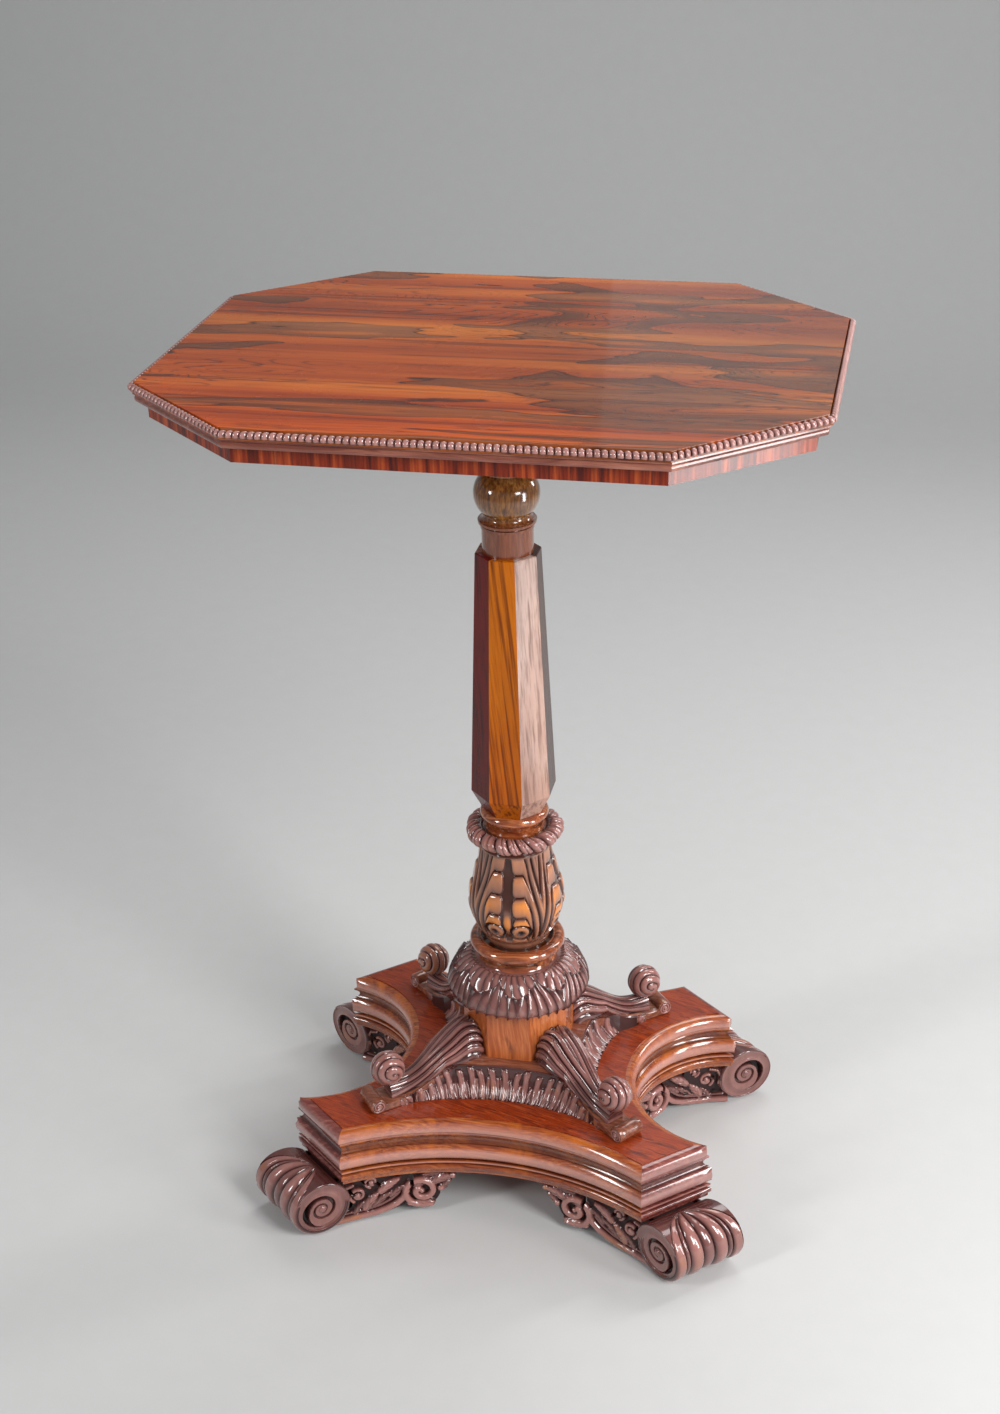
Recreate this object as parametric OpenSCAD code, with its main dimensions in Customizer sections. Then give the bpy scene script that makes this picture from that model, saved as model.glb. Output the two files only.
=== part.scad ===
// Wine table: canted top with a beaded edge, eight-sided column, carved base and four scroll feet.
// The origin is on the floor under the column's axis. +X runs along the long side of the top.
// The front is -Y, and +Z is up. All sizes are in millimetres.

/* [Top] */
// Width of the top over the beads
top_w = 496; // [440:2:560]
// Depth of the top over the beads
top_d = 398; // [350:2:450]
// Part of the width that a cut corner takes
cant_x = 96; // [70:1:110]
// Part of the depth that a cut corner takes
cant_y = 86; // [60:1:100]
// Height of the table
table_h = 735; // [725:1:780]
// Thickness of the top board
board_t = 15; // [13:0.5:20]
// Diameter of one bead of the edge
bead_d = 5; // [4:0.25:6]
// Height of the frieze band under the board
frieze_h = 11.5; // [9:0.5:18]
// Distance of the frieze band from the bead line
frieze_inset = 13; // [11:0.5:20]
// Thickness of the frieze band
frieze_t = 14; // [8:0.5:20]

/* [Column] */
// Height of the eight-sided block
block_h = 50.5; // [40:0.5:60]
// Half the width over the flats of the eight-sided block
block_half = 44.2; // [40:0.2:48]
// Height of the leaf-carved shoulder on the block
shoulder_h = 30; // [24:0.5:36]
// Radius of the leaf-carved shoulder
shoulder_r = 56.6; // [50:0.2:62]
// Height of the turned disc from its foot to its dished floor
disc_h = 11; // [9:0.5:14]
// Radius of the turned disc
disc_r = 40; // [36:0.5:46]
// Height of the carved baluster
baluster_h = 99; // [90:1:110]
// Largest radius of the carved baluster
baluster_r = 40.9; // [36:0.1:44]
// Height of the leaf collar between the baluster and the ring
collar_h = 15; // [12:0.5:18]
// Radius of the leaf collar over its lobes
collar_r = 38.8; // [34:0.2:44]
// Number of lobes on the leaf collar
collar_lobes = 24; // [16:1:30]
// Height of the turned ring under the shaft
ring_h = 19; // [16:0.5:24]
// Radius of the turned ring
ring_r = 28.1; // [26:0.1:31]
// Height of the eight-sided shaft
shaft_h = 225; // [215:1:230]
// Half the width over the flats near the foot of the shaft
shaft_low_half = 32.2; // [29:0.1:34]
// Half the width over the flats near the head of the shaft
shaft_high_half = 24; // [22:0.1:27]
// Radius of the ball knop
knop_r = 25.5; // [23:0.1:28]

/* [Carved base] */
// Height of the carved base between the platform and the block
mound_h = 28.5; // [24:0.5:32]
// Direction of the leaf brackets from the long side of the top
bracket_angle = 40; // [38:0.5:43]
// Width of the tongue under a leaf bracket
tongue_w = 24; // [20:0.5:28]
// Distance from the axis to the scroll at the end of a tongue
tongue_reach = 141; // [134:1:146]
// Radius of the ball that a leaf bracket curls into
curl_r = 15; // [11:0.5:15]

/* [Platform] */
// Thickness of the platform
platform_t = 55; // [48:1:62]
// Distance of the arm's outer corner from the axis along the long side
arm_x = 164; // [150:1:178]
// Distance of the arm's outer corner from the axis along the short side
arm_y = 91; // [84:1:98]
// Distance of the arm's inner corner from the axis along the long side
inner_x = 126; // [118:1:134]
// Distance of the arm's inner corner from the axis along the short side
inner_y = 124; // [116:1:132]
// Distance from the axis to the middle of the concave front
waist_y = 90; // [86:1:98]
// Distance from the axis to the middle of a concave end
waist_x = 94.5; // [90:0.5:102]

/* [Feet] */
// Height of the feet under the platform
foot_h = 44; // [38:1:50]
// Radius of the rolled scroll of a foot
volute_r = 26; // [22:0.5:30]
// Width of the rolled scroll of a foot
foot_w = 62; // [54:1:66]
// Number of reeds across the scroll of a foot
reeds = 5; // [3:1:7]

/* [Hidden] */
$fn = 96;
SIDES = ["front", "front_right", "right", "back_right", "back", "back_left", "left", "front_left"];
CORNERS = ["back_right", "back_left", "front_left", "front_right"];
FACES = ["front", "right", "back", "left"];

// Colours of the woods
rosewood = "#8a3f1c";
dark_rosewood = "#5c2a22";
carved_rosewood = "#4f2a26";
banding = "#a5501f";
secondary_wood = "#a98255";
steel = "#8d8f92";

// Heights of the joints above the floor
mound_z = foot_h + platform_t;
block_z = mound_z + mound_h;
shoulder_z = block_z + block_h;
disc_z = shoulder_z + shoulder_h;
baluster_z = disc_z + disc_h;
collar_z = baluster_z + baluster_h;
ring_z = collar_z + collar_h;
shaft_z = ring_z + ring_h;
capital_z = shaft_z + shaft_h;
board_z = table_h - board_t;
capital_top_z = board_z - 12;
knop_z = capital_z + 46.9;

// Radii of the dowels that hold the turned pieces, and the play in their holes
dowel_gap = 0.15;
pillar_dowel_r = 18;
baluster_dowel_r = 11;
shaft_dowel_r = 10;
capital_dowel_r = 9;
crown_dowel_r = 12;

// Edge of the top
bead_r = bead_d / 2;
bead_pitch = 4.97;
moulding_h = 8;
moulding_back = 12;
upper_leaf_z = board_z + moulding_h;

// Concave sides of the platform: radius of the arc through a corner pair and a waist
front_sag = inner_y - waist_y;
front_r = (inner_x * inner_x + front_sag * front_sag) / (2 * front_sag);
front_c = waist_y + front_r;
side_sag = arm_x - waist_x;
side_r = (arm_y * arm_y + side_sag * side_sag) / (2 * side_sag);
side_c = waist_x + side_r;
end_angle = atan2(arm_x - inner_x, inner_y - arm_y);
end_reach = arm_x * cos(end_angle) + arm_y * sin(end_angle);
core_inset = 6;
veneer_t = 1;

// Concave sides of the carved base at the platform: centre distance and radius
cove_front_r = 195;
cove_front_c = 65 + cove_front_r;
cove_side_r = 118;
cove_side_c = 69.5 + cove_side_r;
cove_t = 21;
cove_lean = 15;
cove_lip_t = 3;

// Scroll feet
foot_centre_t = 44;
inner_skew = 10;
outer_skew = 14;
roll_n = end_reach + 25.3;
roll_z = volute_r - 0.5;
wing_inset = 6;
wing_t = 12;

// Screws
screw_r = 2;
screw_head_r = 4.2;
screw_head_h = 2.6;

// Corner points of the top's bead line, counterclockwise from the left end of the front
TOP = [
    [-top_w / 2 + cant_x, -top_d / 2], [top_w / 2 - cant_x, -top_d / 2],
    [top_w / 2, -top_d / 2 + cant_y], [top_w / 2, top_d / 2 - cant_y],
    [top_w / 2 - cant_x, top_d / 2], [-top_w / 2 + cant_x, top_d / 2],
    [-top_w / 2, top_d / 2 - cant_y], [-top_w / 2, -top_d / 2 + cant_y]
];
function edge_vector(i) = TOP[(i + 1) % 8] - TOP[i % 8];
function edge_angle(i) = atan2(edge_vector(i)[1], edge_vector(i)[0]);
function edge_normal(i) = [sin(edge_angle(i)), -cos(edge_angle(i))];
// Corner i of the outline that lies the given distance inside the bead line
function top_corner(i, inset) =
    let (n0 = edge_normal(i + 7), n1 = edge_normal(i))
    TOP[i % 8] - inset * (n0 + n1) / (1 + n0 * n1);
function top_outline(inset) = [for (i = [0:7]) top_corner(i, inset)];

// Screw places on the underside of the top, as x, y pairs
BEARER_X = 118;
TOP_SCREWS = concat(
    [for (x = [-BEARER_X, BEARER_X], y = [-120, 0, 120]) [x, y]],
    [for (x = [-46, 46], y = [-46, 46]) [x, y]]
);

// Keeps the part of a strip between the mitres at both ends of edge i
module mitred(i) {
    intersection() {
        children();
        translate([0, 0, board_z - 40])
            linear_extrude(80)
                polygon([top_corner(i, -10), top_corner(i + 1, -10), top_corner(i + 1, 50), top_corner(i, 50)]);
    }
}

// Runs a profile, drawn as distance inside the bead line and height, along edge i of the top
module along_edge(i) {
    mitred(i)
        translate(top_corner(i, 0))
            rotate([0, 0, edge_angle(i)])
                rotate([90, 0, 90])
                    translate([0, 0, -10])
                        linear_extrude(norm(edge_vector(i)) + 20)
                            children();
}

module top_board() {
    color(rosewood)
        difference() {
            union() {
                translate([0, 0, upper_leaf_z])
                    linear_extrude(table_h - upper_leaf_z)
                        polygon(top_outline(bead_r));
                translate([0, 0, board_z])
                    linear_extrude(moulding_h)
                        polygon(top_outline(moulding_back));
            }
            for (p = TOP_SCREWS)
                translate([p[0], p[1], board_z - 1])
                    cylinder(r = screw_r, h = 9);
        }
}

// A split row of turned beads that touch each other, flat on the board's edge
module bead_strip(i) {
    row = norm(top_corner(i + 1, bead_r) - top_corner(i, bead_r));
    count = round(row / bead_pitch);
    color(dark_rosewood)
        translate([each top_corner(i, bead_r), table_h - bead_r])
            rotate([0, 0, edge_angle(i)])
                rotate([0, 90, 0])
                    rotate([0, 0, 180])
                        rotate_extrude(angle = 180)
                            intersection() {
                                union() {
                                    for (k = [0:count - 1])
                                        translate([0, (k + 0.5) * row / count])
                                            circle(bead_r, $fn = 32);
                                    square([bead_r * 0.5, row]);
                                }
                                square([bead_r, row]);
                            }
}

// Fillet, ovolo and cavetto under the projecting edge of the board
module edge_profile() {
    low = board_z;
    translate([4, low + moulding_h - 1.5])
        square([moulding_back - 4, 1.5]);
    intersection() {
        translate([9.5, low + 3.3])
            circle(4.5);
        translate([4.5, low + 1])
            square([moulding_back - 4.5, moulding_h - 2]);
    }
    translate([8.5, low])
        square([moulding_back - 8.5, moulding_h - 1]);
}

module edge_moulding(i) {
    color(dark_rosewood)
        along_edge(i)
            edge_profile();
}

module frieze_band(i) {
    color(banding)
        along_edge(i)
            translate([frieze_inset, board_z - frieze_h])
                square([frieze_t, frieze_h]);
}

// A batten across the grain of the board, with sloped ends
module bearer(x) {
    h = board_z - capital_top_z;
    half = 150;
    color(secondary_wood)
        difference() {
            translate([x - 15, 0, capital_top_z])
                rotate([90, 0, 90])
                    linear_extrude(30)
                        polygon([[-half + h, 0], [half - h, 0], [half, h], [-half, h]]);
            for (p = TOP_SCREWS)
                translate([p[0], p[1], capital_top_z])
                    screw_hole();
        }
}

module screw_hole() {
    translate([0, 0, -1])
        cylinder(r = screw_r, h = 60);
    translate([0, 0, -0.01])
        cylinder(r1 = screw_head_r, r2 = screw_r, h = screw_head_h);
}

module wood_screw(length) {
    cylinder(r1 = screw_head_r, r2 = screw_r, h = screw_head_h);
    cylinder(r = screw_r, h = length);
}

module mounting_block() {
    color(secondary_wood)
        difference() {
            translate([-62, -62, capital_top_z])
                cube([124, 124, board_z - capital_top_z]);
            translate([0, 0, capital_top_z - 1])
                cylinder(r = crown_dowel_r, h = board_t + 20);
            for (p = TOP_SCREWS)
                translate([p[0], p[1], capital_top_z])
                    screw_hole();
        }
}

module top_screws() {
    color(steel)
        for (p = TOP_SCREWS)
            translate([p[0], p[1], capital_top_z])
                wood_screw(19);
}

// Ball knop with its neck rings below and the flared head above, turned in one piece
module column_capital() {
    ring_low_z = capital_z + 24;
    knop_half = 17.5;
    knop_arc = 22;
    flare_r = 26;
    flare_z = capital_top_z - 10 - flare_r;
    stem_r = 14;
    color(dark_rosewood)
        rotate_extrude() {
            translate([0, capital_z - 20])
                square([capital_dowel_r - dowel_gap, 21]);
            // plain neck with a fillet at its top
            translate([0, capital_z])
                square([20, 21]);
            translate([0, capital_z + 20])
                square([20.8, 2.2]);
            translate([0, capital_z + 22])
                square([19, 3]);
            // ring under the knop, hollow on its upper side
            difference() {
                translate([0, ring_low_z])
                    square([22.6, 6.5]);
                translate([22.6, ring_low_z + 6.5])
                    circle(4.6);
            }
            translate([0, ring_low_z + 5])
                square([17, 4]);
            // knop
            intersection() {
                translate([knop_r - knop_arc, knop_z])
                    circle(knop_arc);
                translate([0, knop_z - knop_half])
                    square([knop_r + 1, 2 * knop_half]);
            }
            translate([0, knop_z - knop_half])
                square([17, 2 * knop_half]);
            translate([0, knop_z + knop_half])
                square([18, 3]);
            // stem and flare
            translate([0, knop_z])
                square([stem_r, capital_top_z - knop_z]);
            difference() {
                translate([0, flare_z])
                    square([stem_r + flare_r, flare_r]);
                translate([stem_r + flare_r, flare_z])
                    circle(flare_r);
            }
            translate([0, capital_top_z - 10])
                square([42, 10]);
            translate([0, capital_top_z - 1])
                square([crown_dowel_r - dowel_gap, board_z - capital_top_z]);
        }
}

// Eight tapered flats with a chamfered foot and head
module column_shaft() {
    foot = 18;
    flat = 1 / cos(22.5);
    color(rosewood)
        difference() {
            union() {
                translate([0, 0, shaft_z])
                    rotate([0, 0, 22.5])
                        rotate_extrude($fn = 8)
                            polygon([
                                [0, 0], [(shaft_low_half - 8.5) * flat, 0], [shaft_low_half * flat, foot],
                                [shaft_high_half * flat, shaft_h - 0.6], [(shaft_high_half - 0.6) * flat, shaft_h],
                                [0, shaft_h]
                            ]);
                translate([0, 0, collar_z - 44])
                    cylinder(r = shaft_dowel_r - dowel_gap, h = shaft_z - collar_z + 50);
            }
            translate([0, 0, capital_z - 22])
                cylinder(r = capital_dowel_r, h = 40);
        }
}

// Rounded ring over a smaller one
module shaft_ring() {
    bead = 4.7;
    color(rosewood)
        rotate_extrude()
            difference() {
                union() {
                    translate([0, ring_z])
                        square([23.6, ring_h]);
                    translate([ring_r - bead, ring_z + ring_h - bead - 0.2])
                        circle(bead);
                    translate([0, ring_z])
                        square([25, 2]);
                }
                square([shaft_dowel_r, 1000]);
            }
}

// Collar of rounded lobes round a plain core, with a seat for the ring
module leaf_collar() {
    lobe_r = 4.4;
    mid_r = collar_r - 2 * lobe_r;
    mid_z = ring_z - 2.6;
    color(carved_rosewood)
        difference() {
            union() {
                translate([0, 0, collar_z])
                    cylinder(r = 27, h = collar_h);
                rotate_extrude()
                    translate([mid_r, mid_z])
                        circle(6.4);
                for (k = [0:collar_lobes - 1])
                    rotate([0, 0, k * 360 / collar_lobes])
                        translate([mid_r + lobe_r, 0, mid_z])
                            sphere(lobe_r, $fn = 32);
            }
            translate([0, 0, ring_z])
                cylinder(r = 26, h = 40);
            translate([0, 0, collar_z - 1])
                cylinder(r = shaft_dowel_r, h = 100);
            translate([0, 0, collar_z - 100])
                cylinder(r = 60, h = 100);
        }
}

// Bulb with its widest part low down, tapering to the collar, on a base ring
module baluster_profile() {
    belly_z = baluster_z + 48;
    belly_arc = 51;
    intersection() {
        translate([baluster_r - belly_arc, belly_z])
            circle(belly_arc);
        translate([0, belly_z - 38])
            square([60, 42]);
    }
    polygon([
        [0, belly_z], [baluster_r, belly_z], [40.6, belly_z + 3], [40, belly_z + 7], [38.9, belly_z + 12],
        [37.4, belly_z + 18], [35.6, belly_z + 24], [33.9, belly_z + 30], [32.4, belly_z + 36],
        [31.2, belly_z + 42], [30.2, belly_z + 47], [29.5, collar_z], [0, collar_z]
    ]);
    translate([0, baluster_z])
        square([20, 20]);
    intersection() {
        translate([15.5, baluster_z + 16])
            circle(13);
        translate([0, baluster_z + 5])
            square([40, 11]);
    }
}

module carved_baluster() {
    color(carved_rosewood)
        difference() {
            rotate_extrude() {
                baluster_profile();
                translate([0, block_z + 24])
                    square([baluster_dowel_r - dowel_gap, baluster_z - block_z]);
            }
            translate([0, 0, collar_z - 46])
                cylinder(r = shaft_dowel_r, h = 60);
        }
}

// Dished disc with a rounded rim on a small cove
module column_disc() {
    rim = 5;
    rim_z = disc_z + 15.5;
    color(rosewood)
        rotate_extrude()
            difference() {
                union() {
                    translate([0, disc_z])
                        square([33, disc_h]);
                    translate([0, disc_z + 7])
                        square([disc_r - rim, disc_h + 1.5]);
                    translate([disc_r - rim, rim_z])
                        circle(rim);
                }
                translate([39, disc_z + 4.5])
                    circle(7.5);
                translate([0, baluster_z])
                    square([30.5, 20]);
                square([baluster_dowel_r, 1000]);
            }
}

// Domed shoulder whose leaf tips hang over the block
module leaf_shoulder() {
    tips = 24;
    tip_r = 7.4;
    color(carved_rosewood)
        difference() {
            union() {
                rotate_extrude() {
                    translate([0, shoulder_z])
                        square([block_half, shoulder_h]);
                    intersection() {
                        translate([31, shoulder_z + 4])
                            circle(26);
                        translate([0, shoulder_z])
                            square([shoulder_r - 4, shoulder_h]);
                    }
                }
                for (k = [0:tips - 1])
                    rotate([0, 0, (k + 0.5) * 360 / tips])
                        translate([shoulder_r - tip_r, 0, shoulder_z + tip_r])
                            sphere(tip_r, $fn = 32);
            }
            translate([0, 0, disc_z])
                cylinder(r = 80, h = 40);
            translate([0, 0, shoulder_z - 1])
                cylinder(r = baluster_dowel_r, h = 100);
            difference() {
                translate([0, 0, disc_z - 12])
                    cylinder(r = 60, h = 12.01);
                translate([0, 0, disc_z - 13])
                    cylinder(r = 36, h = 14);
                translate([0, 0, disc_z - 12])
                    cylinder(r1 = 48, r2 = 36, h = 12);
            }
        }
}

module column_block() {
    color(rosewood)
        difference() {
            union() {
                translate([0, 0, block_z])
                    rotate([0, 0, 22.5])
                        cylinder(r = block_half / cos(22.5), h = block_h, $fn = 8);
                translate([0, 0, foot_h + 12])
                    cylinder(r = pillar_dowel_r - dowel_gap, h = block_z - foot_h - 11);
            }
            translate([0, 0, block_z + 22])
                cylinder(r = baluster_dowel_r, h = 60);
        }
}

// Plan of the carved base: four concave sides, each cut back by the given amount
module mound_plan(back) {
    difference() {
        circle(100);
        for (s = [-1, 1]) {
            translate([0, s * cove_front_c])
                circle(cove_front_r + back);
            translate([s * cove_side_c, 0])
                circle(cove_side_r + back);
        }
    }
}

// Side view of a tongue: distance from the axis and height, with the rolled end
module tongue_profile() {
    roll = 7;
    difference() {
        translate([0, mound_z - 4])
            square([tongue_reach, mound_h + 8]);
        translate([tongue_reach - 13, block_z + 47.5])
            circle(68);
    }
    translate([tongue_reach, mound_z + roll - 0.6])
        circle(roll);
}

// Puts a shape drawn as distance from the axis and height on the line of a bracket
module on_diagonal(width) {
    rotate([0, 0, bracket_angle])
        rotate([90, 0, 0])
            linear_extrude(width, center = true)
                children();
}

// The four mirror images of a shape drawn in the back right quarter
module quarter(k) {
    mirror([k == 1 || k == 2 ? 1 : 0, 0, 0])
        mirror([0, k == 2 || k == 3 ? 1 : 0, 0])
            children();
}

module base_mound() {
    color(carved_rosewood)
        difference() {
            intersection() {
                union() {
                    translate([0, 0, mound_z - 4])
                        linear_extrude(mound_h - cove_lip_t + 4)
                            mound_plan(cove_t);
                    translate([0, 0, block_z - cove_lip_t])
                        linear_extrude(cove_lip_t + 4)
                            mound_plan(cove_lean - 1);
                    for (s = [0, 1])
                        mirror([s, 0, 0])
                            on_diagonal(tongue_w) {
                                tongue_profile();
                                mirror([1, 0])
                                    tongue_profile();
                            }
                }
                translate([0, 0, mound_z])
                    cylinder(r = 200, h = mound_h);
            }
            translate([0, 0, mound_z - 1])
                cylinder(r = pillar_dowel_r, h = 100);
        }
}

// Section of a carved cove: radius from the centre of its arc and height
module cove_section(r) {
    h = mound_h - cove_lip_t;
    difference() {
        translate([r, mound_z])
            square([cove_t, h]);
        translate([r - 32, block_z + 12])
            circle(48);
    }
}

module tongue_space() {
    for (k = [0:3])
        quarter(k)
            on_diagonal(tongue_w)
                translate([0, mound_z - 1])
                    square([200, mound_h + 2]);
}

module carved_cove_front() {
    color(carved_rosewood)
        difference() {
            translate([0, -cove_front_c, 0])
                rotate([0, 0, 90 - 24])
                    rotate_extrude(angle = 48, $fn = 180)
                        cove_section(cove_front_r);
            tongue_space();
        }
}

module carved_cove_right() {
    color(carved_rosewood)
        difference() {
            translate([cove_side_c, 0, 0])
                rotate([0, 0, 180 - 27])
                    rotate_extrude(angle = 54, $fn = 180)
                        cove_section(cove_side_r);
            tongue_space();
        }
}

// Leaf that climbs the block and curls over into a ball above the tongue's scroll
module leaf_bracket() {
    color(carved_rosewood)
        difference() {
            union() {
                intersection() {
                    on_diagonal(2 * block_half)
                        difference() {
                            union() {
                                polygon([
                                    [40, mound_z], [118, mound_z], [128, mound_z + 22], [124, mound_z + 31],
                                    [92, mound_z + 31], [63, block_z + 25.5], [55, block_z + 28], [40, block_z + 28]
                                ]);
                                translate([55, block_z + 17])
                                    circle(11);
                            }
                            translate([106, mound_z + 35])
                                circle(14);
                            tongue_profile();
                        }
                    rotate([0, 0, bracket_angle])
                        linear_extrude(300)
                            polygon([[40, -19], [74, -18], [126, -11], [126, 11], [74, 18], [40, 19]]);
                }
                rotate([0, 0, bracket_angle])
                    translate([126, 0, mound_z + 34])
                        sphere(curl_r, $fn = 48);
            }
            translate([0, 0, block_z - 1])
                rotate([0, 0, 22.5])
                    cylinder(r = block_half / cos(22.5), h = block_h + 10, $fn = 8);
            translate([0, 0, mound_z])
                linear_extrude(mound_h)
                    mound_plan(cove_lean - 1);
            difference() {
                cove_space();
                on_diagonal(tongue_w)
                    translate([0, mound_z - 2])
                        square([200, mound_h + 4]);
            }
        }
}

// Room that the coves take beside a bracket's foot
module cove_space() {
    translate([0, cove_front_c, mound_z - 1])
        cylinder(r = cove_front_r + cove_t + 1, h = mound_h + 1);
    translate([cove_side_c, 0, mound_z - 1])
        cylinder(r = cove_side_r + cove_t + 1, h = mound_h + 1);
}

// Plan of the platform, grown outwards by the given amount
module platform_plan(grow) {
    reach = end_reach + grow;
    tip_x = reach / cos(end_angle);
    tip_y = reach / sin(end_angle);
    difference() {
        polygon([[tip_x, 0], [0, tip_y], [-tip_x, 0], [0, -tip_y]]);
        for (s = [-1, 1]) {
            translate([0, s * front_c])
                circle(front_r - grow, $fn = 180);
            translate([s * side_c, 0])
                circle(side_r - grow, $fn = 180);
        }
    }
}

// Places of the screws that hold a foot, as distance along the arm and across it
FOOT_SCREWS = [[160, -22], [160, -38]];

module foot_screw_places() {
    for (k = [0:3])
        quarter(k)
            rotate([0, 0, end_angle])
                for (p = FOOT_SCREWS)
                    translate([p[0], p[1], 0])
                        children();
}

module platform_core() {
    color(rosewood)
        difference() {
            union() {
                translate([0, 0, foot_h])
                    linear_extrude(platform_t - veneer_t)
                        platform_plan(-core_inset);
                translate([0, 0, mound_z - veneer_t])
                    linear_extrude(veneer_t)
                        platform_plan(-0.4);
            }
            translate([0, 0, foot_h + 10])
                cylinder(r = pillar_dowel_r, h = platform_t);
            foot_screw_places()
                translate([0, 0, foot_h - 1])
                    cylinder(r = screw_r, h = 17);
        }
}

// Moulding of the platform, drawn as projection beyond the edge and height.
// From the top: ovolo and lip, recess, large torus, recess, astragal and fillet.
module platform_profile() {
    top = mound_z - veneer_t;
    translate([-core_inset, foot_h])
        square([core_inset + 3, top - foot_h]);
    // quarter round at the top with two fillets under it
    intersection() {
        translate([0.5, top - 7.5])
            circle(7.5);
        translate([-core_inset, top - 7.5])
            square([20, 7.5]);
    }
    translate([-core_inset, top - 9.7])
        square([core_inset + 8, 2.4]);
    translate([-core_inset, top - 13.2])
        square([core_inset + 6, 4]);
    // hollow
    difference() {
        translate([-core_inset, top - 22])
            square([core_inset + 6, 9.5]);
        translate([8.3, top - 18])
            circle(4.8);
    }
    // large round
    intersection() {
        translate([-0.2, top - 31])
            circle(9.5);
        translate([-core_inset, top - 42])
            square([20, 22]);
    }
    // fillet and bead at the foot
    translate([-core_inset, foot_h + 11])
        square([core_inset + 6.4, 2.2]);
    translate([5, foot_h + 6.5])
        circle(2.7);
    translate([-core_inset, foot_h])
        square([core_inset + 5.5, 7]);
}

// Half plane wedges that mitre the platform mouldings at the corners of an arm
function outer_bisector() =
    let (a = end_angle, c = atan2(-arm_y, side_c - arm_x), m = (a + c) / 2) m;
function inner_bisector() =
    let (a = end_angle, c = 180 - atan2(front_c - inner_y, inner_x), m = (a + c) / 2) m;

// Room of the end moulding of the back right arm between its two mitres
module end_wedge() {
    p = [arm_x, arm_y];
    q = [inner_x, inner_y];
    po = [cos(outer_bisector()), sin(outer_bisector())];
    qo = [cos(inner_bisector()), sin(inner_bisector())];
    translate([0, 0, foot_h - 1])
        linear_extrude(platform_t + 2)
            polygon([p + 60 * po, q + 60 * qo, q - 20 * qo, p - 20 * po]);
}

// What blunts the sharp tips of the mouldings at an outer corner
module tip_cut() {
    translate([arm_x, arm_y, 0])
        rotate([0, 0, outer_bisector()]) {
            translate([10.5, -40, mound_z - 12.5])
                cube([60, 80, 20]);
            translate([15.5, -40, foot_h - 1])
                cube([60, 80, 50]);
        }
}

// One straight moulding on the end of an arm, mitred at both ends
module platform_end_moulding() {
    color(dark_rosewood)
        difference() {
            intersection() {
                rotate([0, 0, end_angle])
                    translate([end_reach, 0, 0])
                        rotate([90, 0, 0])
                            linear_extrude(200, center = true)
                                platform_profile();
                end_wedge();
            }
            tip_cut();
        }
}

module platform_side_moulding_front() {
    color(rosewood)
        difference() {
            translate([0, -front_c, 0])
                rotate([0, 0, 90 - 38])
                    rotate_extrude(angle = 76, $fn = 180)
                        translate([front_r, 0])
                            mirror([1, 0])
                                platform_profile();
            for (k = [2, 3])
                quarter(k)
                    side_cut(q_point(), inner_bisector(), 1);
        }
}

module platform_side_moulding_right() {
    color(rosewood)
        difference() {
            translate([side_c, 0, 0])
                rotate([0, 0, 90])
                    rotate_extrude(angle = 180, $fn = 180)
                        translate([side_r, 0])
                            mirror([1, 0])
                                platform_profile();
            for (k = [0, 3])
                quarter(k) {
                    side_cut(p_point(), outer_bisector(), -1);
                    tip_cut();
                }
        }
}

function p_point() = [arm_x, arm_y];
function q_point() = [inner_x, inner_y];

// Everything on the arm's side of a mitre plane
module side_cut(point, angle, way) {
    translate([point[0], point[1], foot_h - 1])
        rotate([0, 0, angle])
            translate([-120, way > 0 ? -200 : 0, 0])
                cube([320, 200, platform_t + 2]);
}

// Rolled scroll of a foot, with reeds round the roll
module foot_roll() {
    reed_r = foot_w / reeds / 2;
    long = foot_w + 4 * reed_r;
    translate([roll_n, -foot_centre_t, roll_z])
        rotate([90, 0, 0])
            rotate_extrude()
                intersection() {
                    union() {
                        for (k = [-1:reeds])
                            translate([volute_r - reed_r, -foot_w / 2 + (2 * k + 1) * reed_r])
                                circle(reed_r, $fn = 48);
                        translate([0, -long / 2])
                            square([volute_r - reed_r, long]);
                        translate([0, -long / 2 + reed_r])
                            square([volute_r - 2, long - 2 * reed_r]);
                    }
                    translate([0, -60])
                        square([60, 120]);
                }
}

// Half of one turn of a volute's groove
module half_turn(r, x, up) {
    intersection() {
        translate([x, 0])
            difference() {
                circle(r + 1.7, $fn = 64);
                circle(r - 1.7, $fn = 64);
            }
        translate([-40, up ? 0 : -40])
            square([80, 40]);
    }
}

// The spiral groove of a volute, cut into an upright face along +Y
module volute_groove() {
    rotate([90, 0, 0])
        linear_extrude(8, center = true)
            for (i = [0:4])
                half_turn(18.5 - 3.2 * i, i % 2 == 0 ? 0 : -3.2, i % 2 == 0);
}

// The slanted planes that end a roll, and the grooves of its two volutes
module roll_ends() {
    translate([roll_n, -foot_centre_t + foot_w / 2, roll_z])
        rotate([0, 0, -inner_skew]) {
            translate([-80, 0, -40])
                cube([160, 60, 100]);
            volute_groove();
        }
    translate([roll_n, -foot_centre_t - foot_w / 2, roll_z])
        rotate([0, 0, -outer_skew]) {
            translate([-80, -60, -40])
                cube([160, 60, 100]);
            volute_groove();
        }
}

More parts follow.
